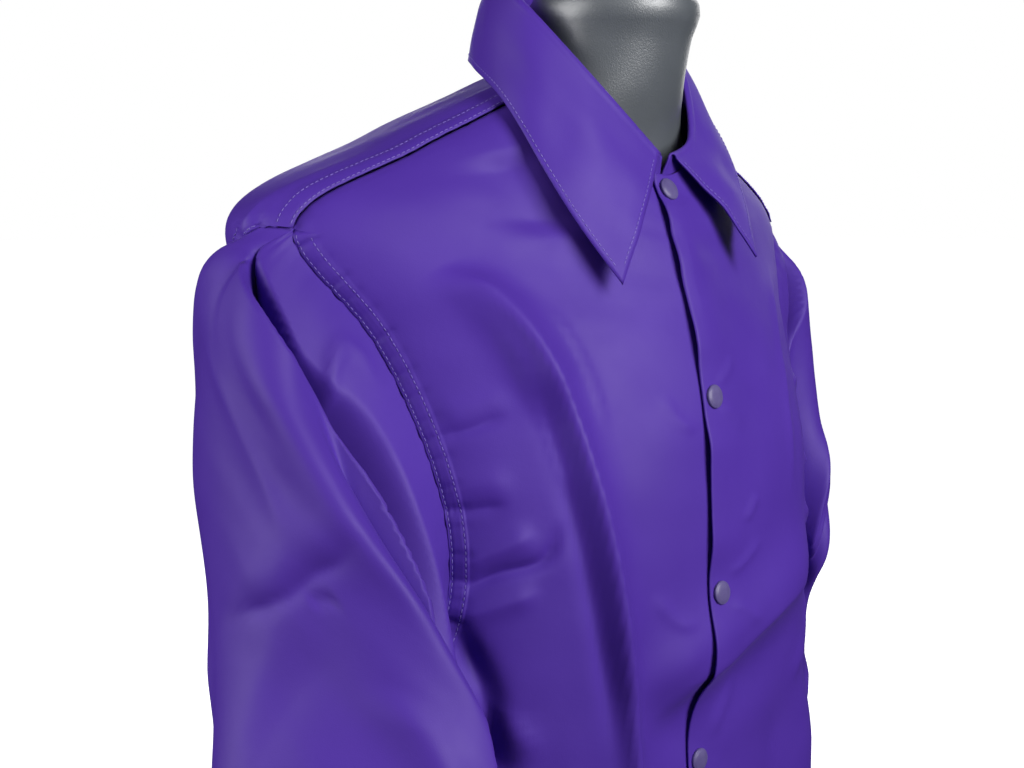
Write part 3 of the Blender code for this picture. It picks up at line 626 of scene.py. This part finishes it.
def armhole_line(side, on_back):
    levels = armhole_levels(ARMHOLE_LINE_STEPS)
    return plain_body(levels, armhole_angle(levels, on_back), side)


def shoulder_line(side):
    levels = np.linspace(TIP_LEVEL, NECK_LEVEL, SHOULDER_LINE_STEPS)
    return plain_body(levels, panel_edge(levels, True), side)


def uneven_wave(place, pitch, seed):
    """Small puckers along a seam, of uneven pitch and height, as narrow dips."""
    shift = np.random.default_rng(seed).uniform(0, 2 * pi, 4)
    phase = 2 * pi * place / pitch
    for (swing, length), start in zip(PUCKER_DRIFTS, shift):
        phase = phase + swing * np.sin(2 * pi * place / length + start)
    height = PUCKER_HEIGHT + PUCKER_SWING * np.sin(2 * pi * place / PUCKER_SWING_LENGTH + shift[2])
    return -height * (0.5 + 0.5 * np.sin(phase)) ** 3


def puckered(kind, away, place, seed):
    fade = 1 - smoothstep(kind.full_to, kind.none_from, away)
    return kind.depth * uneven_wave(place, kind.pitch, seed) * fade


def felled_seam(away, place, band_rise, pucker, seed):
    """A flat-felled seam: raised band, grooves along its stitching, puckers across it."""
    rise = band_rise * (1 - smoothstep(SEAM_BAND, SEAM_BAND + SEAM_BAND_STEP, away))
    grooves = sum(bell((away - row) / STITCH_GROOVE_WIDTH) for row in STITCH_ROWS)
    return rise - STITCH_GROOVE * grooves + puckered(pucker, away, place, seed)


def hem_lift(levels):
    up = levels - HEM_LEVEL - HEM_TURN
    return HEM_RISE * (1 - smoothstep(0, HEM_RISE_STEP, up)) - HEM_GROOVE * bell(up / HEM_GROOVE_WIDTH)


# ---- Meshes


def new_object(name, points, faces):
    mesh = bpy.data.meshes.new(name)
    mesh.from_pydata(np.reshape(points, (-1, 3)).tolist(), [], faces)
    mesh.validate()
    mesh.shade_smooth()
    obj = bpy.data.objects.new(name, mesh)
    bpy.context.scene.collection.objects.link(obj)
    return obj


def grid_faces(rows, columns, closed=False):
    r = np.arange(rows - 1)[:, None] * columns
    c = np.arange(columns if closed else columns - 1)[None, :]
    after = (c + 1) % columns
    corners = [r + c, r + after, r + columns + after, r + columns + c]
    return np.stack(corners, axis=-1).reshape(-1, 4)


def cloth_object(name, points, normals, thickness, closed=False):
    """A sheet with its right side outwards, given thickness on its inside."""
    faces = grid_faces(*points.shape[:2], closed)
    middle = faces[len(faces) // 2]
    corner = points.reshape(-1, 3)[middle]
    facing = np.cross(corner[1] - corner[0], corner[3] - corner[0])
    if np.dot(facing, normals.reshape(-1, 3)[middle[0]]) < 0:
        faces = faces[:, ::-1]
    obj = new_object(name, points, faces.tolist())
    ply = obj.modifiers.new("ply", "SOLIDIFY")
    ply.thickness = thickness
    ply.offset = -1
    ply.use_even_offset = False
    return obj


def lap_angle(level):
    """The angle past centre front at which a front's lap ends."""
    ring = read_rows(BODY_RINGS, level)
    return -pi / 2 - np.arcsin((FRONT_LAP / ring.half_width) ** (ring.front_full / 2))


def lap_lift(levels):
    """How far the left front stands off the right one: least at the snaps, loose between them."""
    nearest = np.min([np.abs(levels - s) for s in SNAP_LEVELS], axis=0)
    wave = np.sin(levels * 2 * pi / LAP_WANDER_LENGTH + LAP_WANDER_START)
    loose = smoothstep(LAP_HELD, LAP_LOOSE, nearest) * (LAP_WANDER + LAP_WANDER_SWING * wave)
    return LAP_LIFT_AT_SNAP + LAP_LIFT_BETWEEN * loose


def seam_lines_on(points, normals, away, wanted, rows):
    """The line of points at a wanted distance from a seam, read along each row of a grid."""
    line, facing = [], []
    for r in rows:
        gaps = away[r]
        crossing = np.nonzero((gaps[:-1] - wanted) * (gaps[1:] - wanted) <= 0)[0]
        if not len(crossing):
            continue
        c = crossing[-1] if gaps[-1] < gaps[0] else crossing[0]
        t = (wanted - gaps[c]) / (gaps[c + 1] - gaps[c] + 1e-12)
        line.append(points[r, c] * (1 - t) + points[r, c + 1] * t)
        facing.append(normals[r, c])
    return np.array(line), np.array(facing)


def hem_line(points, normals):
    row = int(np.argmin(np.abs(row_levels() - HEM_LEVEL - HEM_TURN)))
    return points[row], normals[row]


def front_panel(name, side):
    """One front, from its lap past centre front to the side seam, armhole and shoulder seam."""
    levels = row_levels()[:, None]
    edge = panel_edge(levels, False)
    share = np.linspace(0, 1, FRONT_COLUMNS + 1)[None, :]
    inner = FRONT_FIXED_REACH * np.min(edge + pi / 2)
    outer = inner + (edge + pi / 2 - inner) * (share - FRONT_FIXED) / (1 - FRONT_FIXED)
    angle = -pi / 2 + np.where(share < FRONT_FIXED, inner * share / FRONT_FIXED, outer)
    lap = lap_angle(levels)
    past = lap + (-pi / 2 - lap) * np.linspace(0, 1, LAP_COLUMNS + 1)[None, :-1]
    angle = np.concatenate([past, angle], axis=1)
    levels = np.broadcast_to(levels, angle.shape)
    plain = plain_body(levels, angle, side)
    beyond = np.where(angle < -pi / 2, -1, 1) * np.abs(plain[..., 0])
    over = lap_lift(levels) if side > 0 else 0.0
    lift = over * (1 - smoothstep(-FRONT_LAP, LAP_FADE, beyond)) + hem_lift(levels)
    away, place = from_line(plain, armhole_line(side, False))
    lift = lift + felled_seam(away, place, SEAM_BAND_RISE, ARMHOLE_PUCKER, FRONT_SEED + side)
    to_shoulder, along = from_line(plain, shoulder_line(side))
    lift = lift + puckered(YOKE_PUCKER, to_shoulder, along, YOKE_SEED)
    lift = lift - SHOULDER_DIP * bell(to_shoulder / SHOULDER_DIP_WIDTH)
    points, normals = body(levels, angle, side, lift)
    rows = range(ROWS_BELOW_ARMPIT, ROWS_BELOW_ARMPIT + ROWS_ARMHOLE + 1)
    lines = [seam_lines_on(points, normals, away, row, rows) for row in STITCH_ROWS]
    lines.append(hem_line(points[:, 1:], normals[:, 1:]))
    return cloth_object(name, points, normals, CLOTH), lines, points


def back_panel(name):
    """The back, one piece from side seam to side seam, which comes over the shoulders to the front."""
    halves, lines = [], []
    tip_row = ROWS_BELOW_ARMPIT + ROWS_ARMHOLE
    for side in (-1, 1):
        levels = row_levels()[:, None]
        edge = panel_edge(levels, True)
        share = np.linspace(0, 1, HALF_BACK_COLUMNS + 1)[None, :]
        inner = np.max(edge) + BACK_FIXED_GAP * (pi / 2 - np.max(edge))
        fixed = inner + (pi / 2 - inner) * (share - 1 + BACK_FIXED) / BACK_FIXED
        follows = edge + (inner - edge) * share / (1 - BACK_FIXED)
        angle = np.where(share < 1 - BACK_FIXED, follows, fixed)
        levels = np.broadcast_to(levels, angle.shape)
        plain = plain_body(levels, angle, side)
        away, place = from_line(plain, armhole_line(side, True))
        lift = hem_lift(levels) + felled_seam(away, place, SEAM_BAND_RISE, ARMHOLE_PUCKER, BACK_SEED + side)
        to_shoulder, along = from_line(plain, shoulder_line(side))
        lift = lift + felled_seam(to_shoulder, along, SHOULDER_BAND_RISE, SHOULDER_PUCKER, SHOULDER_SEED + side)
        points, normals = body(levels, angle, side, lift)
        halves.append((points, normals))
        rows = range(ROWS_BELOW_ARMPIT, tip_row + 1)
        lines += [seam_lines_on(points, normals, away, row, rows) for row in STITCH_ROWS]
        rows = range(tip_row, len(row_levels()))
        lines += [seam_lines_on(points, normals, to_shoulder, row, rows) for row in STITCH_ROWS]
    right, left = halves
    points, normals = (np.concatenate([r, l[:, -2::-1]], axis=1) for r, l in zip(right, left))
    lines.append(hem_line(points, normals))
    return cloth_object(name, points, normals, CLOTH), lines


def sleeve_tube(z, turn, sections, side):
    """A point of the plain sleeve: turn 0 is under the arm, 90 degrees the front, 180 the outside."""
    at = read_rows(sections[::-1], z)
    twist = np.radians(at.turn)
    wide, thick = at.half_wide * np.sin(turn), -at.half_thick * np.cos(turn)
    x = at.x - wide * np.sin(twist) + thick * np.cos(twist)
    y = at.y - wide * np.cos(twist) - thick * np.sin(twist)
    return np.stack([side * x, y, np.asarray(z, float)], axis=-1)


def pleat_offset(share, turn_degrees):
    total = np.zeros(np.shape(share))
    for pleat in SLEEVE_PLEATS:
        along = np.clip((share - pleat.from_share) / (pleat.to_share - pleat.from_share), 0, 1)
        centre = pleat.from_turn + (pleat.to_turn - pleat.from_turn) * along
        fade = smoothstep(0, PLEAT_START, share - pleat.from_share)
        fade = fade * (1 - smoothstep(*PLEAT_END, share / pleat.to_share))
        total += pleat.height * fade * bell((turn_degrees - centre) / pleat.width)
    return total


def flap(run, round_run):
    """The overhanging front fold of a sleeve: lift, and shift towards the outside, across the fold's edge."""
    path = [(p.share * SLEEVE_LENGTH, radians(p.turn) * SLEEVE_RADIUS) for p in FLAP_POINTS]
    knots = np.linspace(0, 1, len(path))
    line = through(knots, path, np.linspace(0, 1, FLAP_SAMPLES))
    lift, shift_run, shift_round = (np.zeros(np.shape(run)) for _ in range(3))
    near = close_to(run, round_run, line, FLAP_REACH)
    away, place, side = near_path(run[near], round_run[near], line)
    edge, gap_depth, gap_width = through(knots, [p[2:] for p in FLAP_POINTS], place).T
    before, after = np.maximum(place - FLAP_HEADING_STEP, 0), np.minimum(place + FLAP_HEADING_STEP, 1)
    ahead = unit(through(knots, path, after) - through(knots, path, before))
    outer = side > 0
    rise = FLAP_RISE * np.where(outer, np.exp(-away / FLAP_RISE_OUTER), bell(away / FLAP_RISE_INNER))
    wall = smoothstep(0, 1, 1 - np.clip((away - FLAP_OVERHANG * edge) / gap_width, 0, 1))
    gap = np.where(outer, 0.0, gap_depth * smoothstep(*FLAP_LIP, away) * wall)
    lift[near] = edge * rise - FLAP_GAP * gap
    over = -FLAP_OVERHANG * bell(away / np.where(outer, FLAP_OVER_OUTER, FLAP_OVER_INNER))
    tuck = FLAP_TUCK * smoothstep(*FLAP_TUCK_FROM, away) * (1 - smoothstep(*FLAP_TUCK_TO, away))
    shift = edge * (over + np.where(outer, 0.0, tuck))
    shift_run[near] = -ahead[:, 1] * shift
    shift_round[near] = ahead[:, 0] * shift
    return lift, shift_run, shift_round


def sleeve_head(share, degrees):
    bump = bell((share - HEAD_BUMP) / HEAD_BUMP_WIDTH) * smoothstep(0, HEAD_START, share)
    dip = bell((share - HEAD_DIP) / HEAD_DIP_WIDTH)
    return HEAD_FULLNESS * (bump - dip) * bell((degrees - HEAD_TURN) / HEAD_SPREAD)


def sleeve(name, sections, side, creases):
    """A sleeve from the armhole to its plain hem, with its pleats, flap, creases and seam puckers."""
    turn = np.linspace(0, 2 * pi, SLEEVE_COLUMNS + 1)[None, :-1]
    level = ARMPIT_LEVEL + (TIP_LEVEL - ARMPIT_LEVEL) * (1 - np.cos(turn)) / 2
    start, start_normal = body(level, armhole_angle(level, turn > pi), side)
    share = np.linspace(0, 1, SLEEVE_ROWS + 1)[:, None] ** SLEEVE_ROW_POWER
    share, turn = np.broadcast_arrays(share, turn)
    z = start[..., 2] + (CUFF_Z - start[..., 2]) * share
    tube = sleeve_tube(z, turn, sections, side)
    blend = 1 - (1 - np.clip(share / SLEEVE_BLEND, 0, 1))[..., None] ** SLEEVE_BLEND_POWER
    points = start * (1 - blend) + tube * blend
    points[..., 2] = z
    down = np.gradient(points, axis=0)
    round_it = np.roll(points, -1, axis=1) - np.roll(points, 1, axis=1)
    normals = unit(side * np.cross(down, round_it))
    normals[0] = start_normal
    degrees = np.degrees(turn)
    run, round_run = share * SLEEVE_LENGTH, turn * SLEEVE_RADIUS
    lift, shift_run, shift_round = flap(run, round_run)
    in_metres = [
        c._replace(path=[(s * SLEEVE_LENGTH, radians(t) * SLEEVE_RADIUS) for s, t in c.path]) for c in creases
    ]
    skewed = run + SLEEVE_WANDER_SKEW * SLEEVE_RADIUS * np.cos(turn)
    stretched = SLEEVE_WANDER_STRETCH * SLEEVE_RADIUS * np.sin(turn)
    loose = along_creases(run, round_run, in_metres)
    loose = loose + unevenness(skewed, stretched, SLEEVE_WANDER, SLEEVE_SEED + side)
    height = pleat_offset(share, degrees) + lift + loose * smoothstep(0, SLEEVE_HELD, share)
    height = height + sleeve_head(share, degrees) + hem_lift(HEM_LEVEL + (1 - share) * SLEEVE_LENGTH)
    puckers = HEAD_PUCKER_DEPTH * uneven_wave(round_run, HEAD_PUCKER_PITCH, HEAD_SEED + side)
    height = height + puckers * bell(run / HEAD_PUCKER_REACH)
    points = points + normals * height[..., None]
    points = points + unit(down) * shift_run[..., None] + unit(round_it) * shift_round[..., None]
    cuff_row = int(np.argmin(np.abs((1 - share[:, 0]) * SLEEVE_LENGTH - HEM_TURN)))
    ring = np.append(np.arange(SLEEVE_COLUMNS), 0)
    obj = cloth_object(name, points, normals, CLOTH, closed=True)
    return obj, [(points[cuff_row, ring], normals[cuff_row, ring])]


def collar_loops():
    """Neck seam, roll line and leaf edge round the neck, from the right centre front to the left."""
    share = np.linspace(0, 1, HALF_COLLAR_COLUMNS + 1)
    angle = -pi / 2 + pi * share
    angle[0] += COLLAR_START
    stations = np.array(COLLAR_STATIONS)
    level = np.full(share.shape, NECK_LEVEL)
    seam, seam_normal = body(level, angle, 1)
    up = unit(plain_body(level, angle, 1) - plain_body(level - 0.01, angle, 1))
    seam = seam + up * COLLAR_SEAM_RISE - seam_normal * CLOTH / 2
    roll = through(stations[:, 0], stations[:, 1:4], share)
    edge = through(stations[:, 0], stations[:, 4:7], share)
    left_edge = edge.copy()
    left_edge[:, 2] += COLLAR_LEFT_POINT_RISE * (1 - smoothstep(0, COLLAR_LEFT_POINT_FADE, share))
    left_roll = roll.copy()
    lower = np.sin(pi * np.clip(share / COLLAR_LEFT_ROLL_FADE, 0, 1))
    left_roll[:, 2] -= COLLAR_LEFT_ROLL_DROP * lower
    left_roll[:, 0] -= COLLAR_LEFT_ROLL_TUCK * lower
    both = []
    for right, left in ((seam, seam), (roll, left_roll), (edge, left_edge)):
        both.append(np.concatenate([right * (-1, 1, 1), left[-2::-1]], axis=0))
    return both


def between(grid, rows, columns):
    """Points of a grid at rows and columns that may lie between its own."""
    low_row, low_column = np.floor(rows).astype(int), np.floor(columns).astype(int)
    t, s = (rows - low_row)[:, None], (columns - low_column)[:, None]
    next_row = np.minimum(low_row + 1, grid.shape[0] - 1)
    next_column = np.minimum(low_column + 1, grid.shape[1] - 1)
    low = grid[low_row, low_column] * (1 - s) + grid[low_row, next_column] * s
    high = grid[next_row, low_column] * (1 - s) + grid[next_row, next_column] * s
    return low * (1 - t) + high * t


def collar(name):
    """The folded collar, swept from the neck seam over the roll line to the leaf's edge."""
    seam, roll, edge = collar_loops()
    outward = unit((edge - roll) * (1, 1, 0))
    up = np.array([0.0, 0.0, 1.0])
    rows = []
    for share in np.linspace(0, 1, COLLAR_STAND_ROWS + 1)[:-1]:
        rows.append(seam + (roll - outward * COLLAR_FOLD_RADIUS - seam) * share)
    for turn in np.linspace(pi, 0, COLLAR_FOLD_ROWS):
        rows.append(roll + COLLAR_FOLD_RADIUS * (outward * np.cos(turn) + up * np.sin(turn)))
    top = roll + outward * COLLAR_FOLD_RADIUS
    leaf = np.linspace(0, 1, COLLAR_LEAF_ROWS + 1)[1:]
    first_leaf = len(rows)
    for share in leaf:
        rows.append(top + (edge - top) * share)
    points = np.stack(rows)
    normals = unit(np.cross(np.gradient(points, axis=0), np.gradient(points, axis=1)))
    if (normals[-1] * outward).sum() < 0:
        normals = -normals
    length, run = np.linalg.norm(edge - top, axis=-1), run_along(edge)
    at_points = 1 - smoothstep(*COLLAR_POINT_REACH, np.minimum(run, run[-1] - run))
    for row, share in enumerate(leaf, start=first_leaf):
        bulge = COLLAR_BULGE + unevenness(run, share * length, COLLAR_WANDER, COLLAR_SEED)
        lift = bulge * np.sin(pi * share) - COLLAR_POINT_TUCK * share**2 * at_points
        points[row] += normals[row] * lift[:, None]
    last = points.shape[1] - 1
    along = np.nonzero((run > COLLAR_STITCH_INSET) & (run < run[-1] - COLLAR_STITCH_INSET))[0]
    row = first_leaf - 1 + (1 - COLLAR_STITCH_INSET / length[along]) * COLLAR_LEAF_ROWS
    lines = [(between(points, row, along), normals[np.floor(row).astype(int), along])]
    down = np.arange(first_leaf, len(rows) - 2)
    for near, step in ((0, 1), (last, -1)):
        further = points[down, near + COLLAR_SPACING_COLUMNS * step]
        spacing = np.linalg.norm(points[down, near] - further, axis=-1) / COLLAR_SPACING_COLUMNS
        inset = np.clip(COLLAR_STITCH_INSET / spacing, 0, COLLAR_INSET_COLUMNS)
        lines.append((between(points, down, near + step * inset), normals[down, near]))
    return cloth_object(name, points, normals, COLLAR_CLOTH), lines


def read_line(run, line, at):
    return np.array([np.interp(at, run, line[:, k]) for k in range(3)])


def stitches(name, lines):
    """Rows of small raised stitches lying on the cloth along lines of points."""
    points, faces = [], []
    section = np.array([(-0.5, 0.0), (-0.3, 0.85), (0.3, 0.85), (0.5, 0.0)])
    ends = ((-0.5, 0.25), (-0.28, 1.0), (0.28, 1.0), (0.5, 0.25))
    side = grid_faces(4, 4, closed=True)
    caps = np.array([[3, 2, 1, 0], [12, 13, 14, 15]])
    for line, facing in lines:
        if len(line) < 3:
            continue
        run = run_along(line)
        for at in np.arange(STITCH_PITCH, run[-1] - STITCH_PITCH, STITCH_PITCH):
            before, place, after = (read_line(run, line, at + d) for d in (-STITCH_AIM, 0, STITCH_AIM))
            normal = unit(read_line(run, facing, at))
            along = unit(after - before)
            across = unit(np.cross(normal, along))
            first = len(points)
            for shift, size in ends:
                centre = place + along * shift * STITCH_LENGTH
                for w, h in section:
                    off = across * w * STITCH_WIDTH + normal * h * STITCH_HEIGHT
                    points.append(centre + off * size)
            faces.extend((side + first).tolist())
            faces.extend((caps + first).tolist())
    return new_object(name, points, faces)


def snap_cap(name, level, surface):
    """A domed cap with a rolled rim, laid on the left front's lap."""
    turn = np.linspace(0, 2 * pi, SNAP_SEGMENTS, endpoint=False)
    circle = np.stack([np.cos(turn), np.sin(turn), np.ones(SNAP_SEGMENTS)], axis=-1)
    rings = [circle * (SNAP_RADIUS * r, SNAP_RADIUS * r, SNAP_HEIGHT * h) for r, h in SNAP_PROFILE]
    points = np.concatenate([*rings, [(0, 0, SNAP_HEIGHT), (0, 0, 0)]])
    top, foot = len(points) - 2, len(points) - 1
    faces = grid_faces(len(SNAP_PROFILE), SNAP_SEGMENTS, closed=True)[:, ::-1].tolist()
    last = (len(SNAP_PROFILE) - 1) * SNAP_SEGMENTS
    for k in range(SNAP_SEGMENTS):
        after = (k + 1) % SNAP_SEGMENTS
        faces += [(top, k, after), (last + after, last + k, foot)]
    obj = new_object(name, points, faces)
    place, normal = (Vector(v) for v in body(np.array(level), np.array(-pi / 2), 1))
    probes = [Vector((0, 0, 0))]
    for turn in np.linspace(0, 2 * pi, SNAP_PROBES, endpoint=False):
        probes.append(Vector((cos(turn), 0, sin(turn))) * SNAP_RADIUS * SNAP_PROBE_REACH)
    found = [surface.ray_cast(place + aside + normal * SNAP_PROBE_HEIGHT, -normal)[0] for aside in probes]
    hits = np.array([hit for hit in found if hit])
    middle = hits.mean(axis=0)
    facing = np.linalg.svd(hits - middle)[2][2]
    facing = facing * np.sign(facing.dot(normal))
    raise_by = ((hits - middle) @ facing).max() * SNAP_SEAT
    upright = Vector((0, 0, 1)).rotation_difference(Vector(facing)).to_matrix()
    obj.matrix_world = Matrix.Translation(Vector(middle + facing * raise_by)) @ upright.to_4x4()
    return obj


def torso_form(name):
    """The smooth limbless form inside the jacket, from its flat base to the top of the neck."""
    sides = np.linspace(FORM_RINGS[1].z, FORM_RINGS[-2].z, FORM_ROWS)
    z = np.concatenate([FORM_FOOT_LEVELS, sides, np.linspace(FORM_RIM_START, FORM_RINGS[-1].z, FORM_RIM_ROWS)])
    ring = read_rows(FORM_RINGS, z[:, None])
    turn = np.linspace(0, 2 * pi, FORM_SEGMENTS + 1)[None, :-1]
    x = ring.half_width * np.cos(turn)
    y = ring.centre_y + np.where(np.sin(turn) < 0, ring.front_depth, ring.back_depth) * np.sin(turn)
    rings = list(np.stack([x, y, np.broadcast_to(z[:, None], x.shape)], axis=-1))
    rim, middle = rings[-1], rings[-1].mean(axis=0)
    rings += [middle + (rim - middle) * shrink for shrink in FORM_CAP_SHRINK]
    faces = grid_faces(len(rings), FORM_SEGMENTS, closed=True).tolist()
    count = len(rings) * FORM_SEGMENTS
    faces += [list(range(FORM_SEGMENTS))[::-1], list(range(count - FORM_SEGMENTS, count))]
    return new_object(name, np.stack(rings), faces)


# ---- Materials


def settle(made, **inputs):
    for key, value in inputs.items():
        made.inputs[key.replace("_", " ")].default_value = value
    return made


def noise(tree, place, scale, detail):
    made = settle(tree.nodes.new("ShaderNodeTexNoise"), Scale=scale, Detail=detail)
    tree.links.new(place.outputs["Object"], made.inputs["Vector"])
    return made.outputs["Fac"]


def ramp(tree, value, low, high, into):
    """Feed a shader input with a noise, between two colours."""
    made = tree.nodes.new("ShaderNodeValToRGB")
    for element, colour, position in zip(made.color_ramp.elements, (low, high), (0.3, 0.7)):
        element.color = (*colour, 1)
        element.position = position
    tree.links.new(value, made.inputs["Fac"])
    tree.links.new(made.outputs["Color"], into)


def bump(tree, value, strength, distance, into):
    made = settle(tree.nodes.new("ShaderNodeBump"), Strength=strength, Distance=distance)
    tree.links.new(value, made.inputs["Height"])
    tree.links.new(made.outputs["Normal"], into)
    return made.inputs["Normal"]


def clouded_material(name, scale, detail, low, high):
    """A material whose colour wanders a little between two tones."""
    made = bpy.data.materials.new(name)
    made.use_nodes = True
    tree = made.node_tree
    shader, place = tree.nodes["Principled BSDF"], tree.nodes.new("ShaderNodeTexCoord")
    ramp(tree, noise(tree, place, scale, detail), low, high, shader.inputs["Base Color"])
    return made, tree, shader, place


def nylon_material():
    """Satin nylon: fine plain weave, slight unevenness of dye and gloss, soft sheen."""
    tones = (0.072, 0.027, 0.325), (0.084, 0.032, 0.365)
    made, tree, shader, place = clouded_material("satin_nylon", 9.0, 4.0, *tones)
    ramp(tree, noise(tree, place, 35.0, 3.0), [0.50] * 3, [0.58] * 3, shader.inputs["Roughness"])
    slub, weave = noise(tree, place, 160.0, 3.0), noise(tree, place, 1500.0, 2.0)
    under = bump(tree, slub, 0.10, 0.0008, shader.inputs["Normal"])
    bump(tree, weave, 0.16, 0.0004, under)
    settle(shader, Specular_IOR_Level=0.36, Specular_Tint=(0.78, 0.68, 1.0, 1))
    settle(shader, Sheen_Weight=0.10, Sheen_Roughness=0.35, Sheen_Tint=(0.45, 0.33, 0.95, 1))
    return made


def thread_material():
    tones = (0.17, 0.11, 0.48), (0.24, 0.17, 0.58)
    made, _, shader, _ = clouded_material("lilac_thread", 2500.0, 2.0, *tones)
    settle(shader, Roughness=0.5)
    return made


def snap_material():
    tones = (0.105, 0.080, 0.235), (0.130, 0.105, 0.270)
    made, tree, shader, place = clouded_material("snap_cap_plastic", 220.0, 3.0, *tones)
    ramp(tree, noise(tree, place, 600.0, 2.0), [0.34] * 3, [0.46] * 3, shader.inputs["Roughness"])
    settle(shader, Specular_IOR_Level=0.5)
    return made


def form_material():
    """Dark moulded skin of the form, with a fine grain."""
    tones = (0.098, 0.110, 0.126), (0.116, 0.129, 0.146)
    made, tree, shader, place = clouded_material("charcoal_form_skin", 30.0, 4.0, *tones)
    grain = noise(tree, place, 1100.0, 3.0)
    ramp(tree, grain, [0.34] * 3, [0.42] * 3, shader.inputs["Roughness"])
    bump(tree, grain, 0.32, 0.0007, shader.inputs["Normal"])
    settle(shader, Specular_IOR_Level=1.0, Coat_Weight=0.6, Coat_Roughness=0.34)
    return made


def floor_material():
    """Pale floor that glows white away from the part."""
    made, tree, shader, place = clouded_material("pale_floor", 1.5, 2.0, [0.60] * 3, [0.64] * 3)
    settle(shader, Roughness=0.9, Specular_IOR_Level=0.1, Emission_Color=(1, 1, 1, 1))
    reach = tree.nodes.new("ShaderNodeVectorMath")
    reach.operation = "LENGTH"
    tree.links.new(place.outputs["Object"], reach.inputs[0])
    spread = settle(
        tree.nodes.new("ShaderNodeMapRange"), From_Min=0.35, From_Max=1.2, To_Min=0.12, To_Max=1.05
    )
    tree.links.new(reach.outputs["Value"], spread.inputs["Value"])
    tree.links.new(spread.outputs["Result"], shader.inputs["Emission Strength"])
    return made


# ---- Dressing


def dress(obj, slot, material, *nodes):
    obj.data.materials.append(material)
    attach(obj, "root")
    if nodes:
        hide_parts(*nodes)
    return obj


def area_light(name, place, aim, size, power):
    light = bpy.data.lights.new(name, "AREA")
    light.shape = "RECTANGLE"
    light.size, light.size_y = size
    light.energy = power
    obj = bpy.data.objects.new(name, light)
    obj.location = place
    obj.rotation_euler = (Vector(aim) - Vector(place)).to_track_quat("-Z", "Y").to_euler()
    bpy.context.scene.collection.objects.link(obj)


def studio():
    """Pale floor, soft boxes, and a surround that is white behind the part."""
    corners = [(-1, -1, 0), (1, -1, 0), (1, 1, 0), (-1, 1, 0)]
    floor = new_object("floor", np.array(corners) * FLOOR_SIZE, [(0, 1, 2, 3)])
    floor.location.z = -FLOOR_DROP
    floor.data.materials.append(floor_material())
    floor.visible_glossy = floor.visible_diffuse = False
    area_light("key", (0.15, -1.65, 1.22), (-0.05, -0.1, 0.66), (1.0, 1.2), 34)
    area_light("near_side", (-1.74, 0.47, 1.05), (-0.1, -0.05, 0.55), (1.2, 1.4), 26)
    area_light("front_fill", (-1.7, -1.7, 1.5), (0.0, 0.0, 0.55), (2.0, 2.0), 4)
    area_light("far_side", (1.9, 0.9, 1.4), (0.1, 0.0, 0.5), (1.4, 1.4), 9)
    area_light("back", (1.5, 1.7, 0.95), (0.0, 0.0, 0.5), (1.2, 1.2), 15)
    world = bpy.data.worlds.new("surround")
    bpy.context.scene.world = world
    world.use_nodes = True
    settle(world.node_tree.nodes["Background"], Color=(1, 1, 1, 1), Strength=1.0)
    world.cycles_visibility.glossy = world.cycles_visibility.diffuse = False


def camera():
    data = bpy.data.cameras.new("camera")
    data.sensor_width = SENSOR_WIDTH
    data.lens = SENSOR_WIDTH * FOCAL_PIXELS / FRAME_WIDTH_PIXELS
    obj = bpy.data.objects.new("camera", data)
    ahead = Vector((sin(CAMERA_ROUND), cos(CAMERA_ROUND), 0))
    aside = Vector((cos(CAMERA_ROUND), -sin(CAMERA_ROUND), 0))
    obj.location = -ahead * CAMERA_AWAY + Vector((0, 0, CAMERA_HEIGHT))
    level = ahead * cos(CAMERA_YAW) - aside * sin(CAMERA_YAW)
    look = level * cos(CAMERA_PITCH) + Vector((0, 0, -1)) * sin(CAMERA_PITCH)
    obj.rotation_euler = look.to_track_quat("-Z", "Y").to_euler()
    bpy.context.scene.collection.objects.link(obj)
    bpy.context.scene.camera = obj


def main():
    nylon, thread, cap, skin = nylon_material(), thread_material(), snap_material(), form_material()
    left, left_lines, left_points = front_panel("jacket_front_left", 1)
    right, right_lines, _ = front_panel("jacket_front_right", -1)
    made = {
        "front_left": (left, left_lines),
        "front_right": (right, right_lines),
        "back": back_panel("jacket_back"),
        "sleeve_left": sleeve("jacket_sleeve_left", LEFT_SLEEVE, 1, LEFT_SLEEVE_CREASES),
        "sleeve_right": sleeve("jacket_sleeve_right", RIGHT_SLEEVE, -1, RIGHT_SLEEVE_CREASES),
        "collar": collar("jacket_collar"),
    }
    sheets, sewn = {}, {}
    for key, (cloth, lines) in made.items():
        sheets[key] = dress(cloth, "purple_nylon", nylon, key)
        sewn[key] = [dress(stitches("stitches_" + key, lines), "purple_nylon", thread)]
    dress(torso_form("form_body"), "form_skin", skin, "torso_form")
    faces = grid_faces(*left_points.shape[:2]).tolist()
    surface = BVHTree.FromPolygons(left_points.reshape(-1, 3).tolist(), faces)
    for number, level in enumerate(SNAP_LEVELS, start=1):
        obj = snap_cap(f"jacket_snap_{number}", level, surface)
        sewn["front_left"].append(dress(obj, "snap_plastic", cap, f"snap_cap_{number}"))
    studio()
    camera()
    bpy.context.scene.view_settings.view_transform = "Standard"


main()
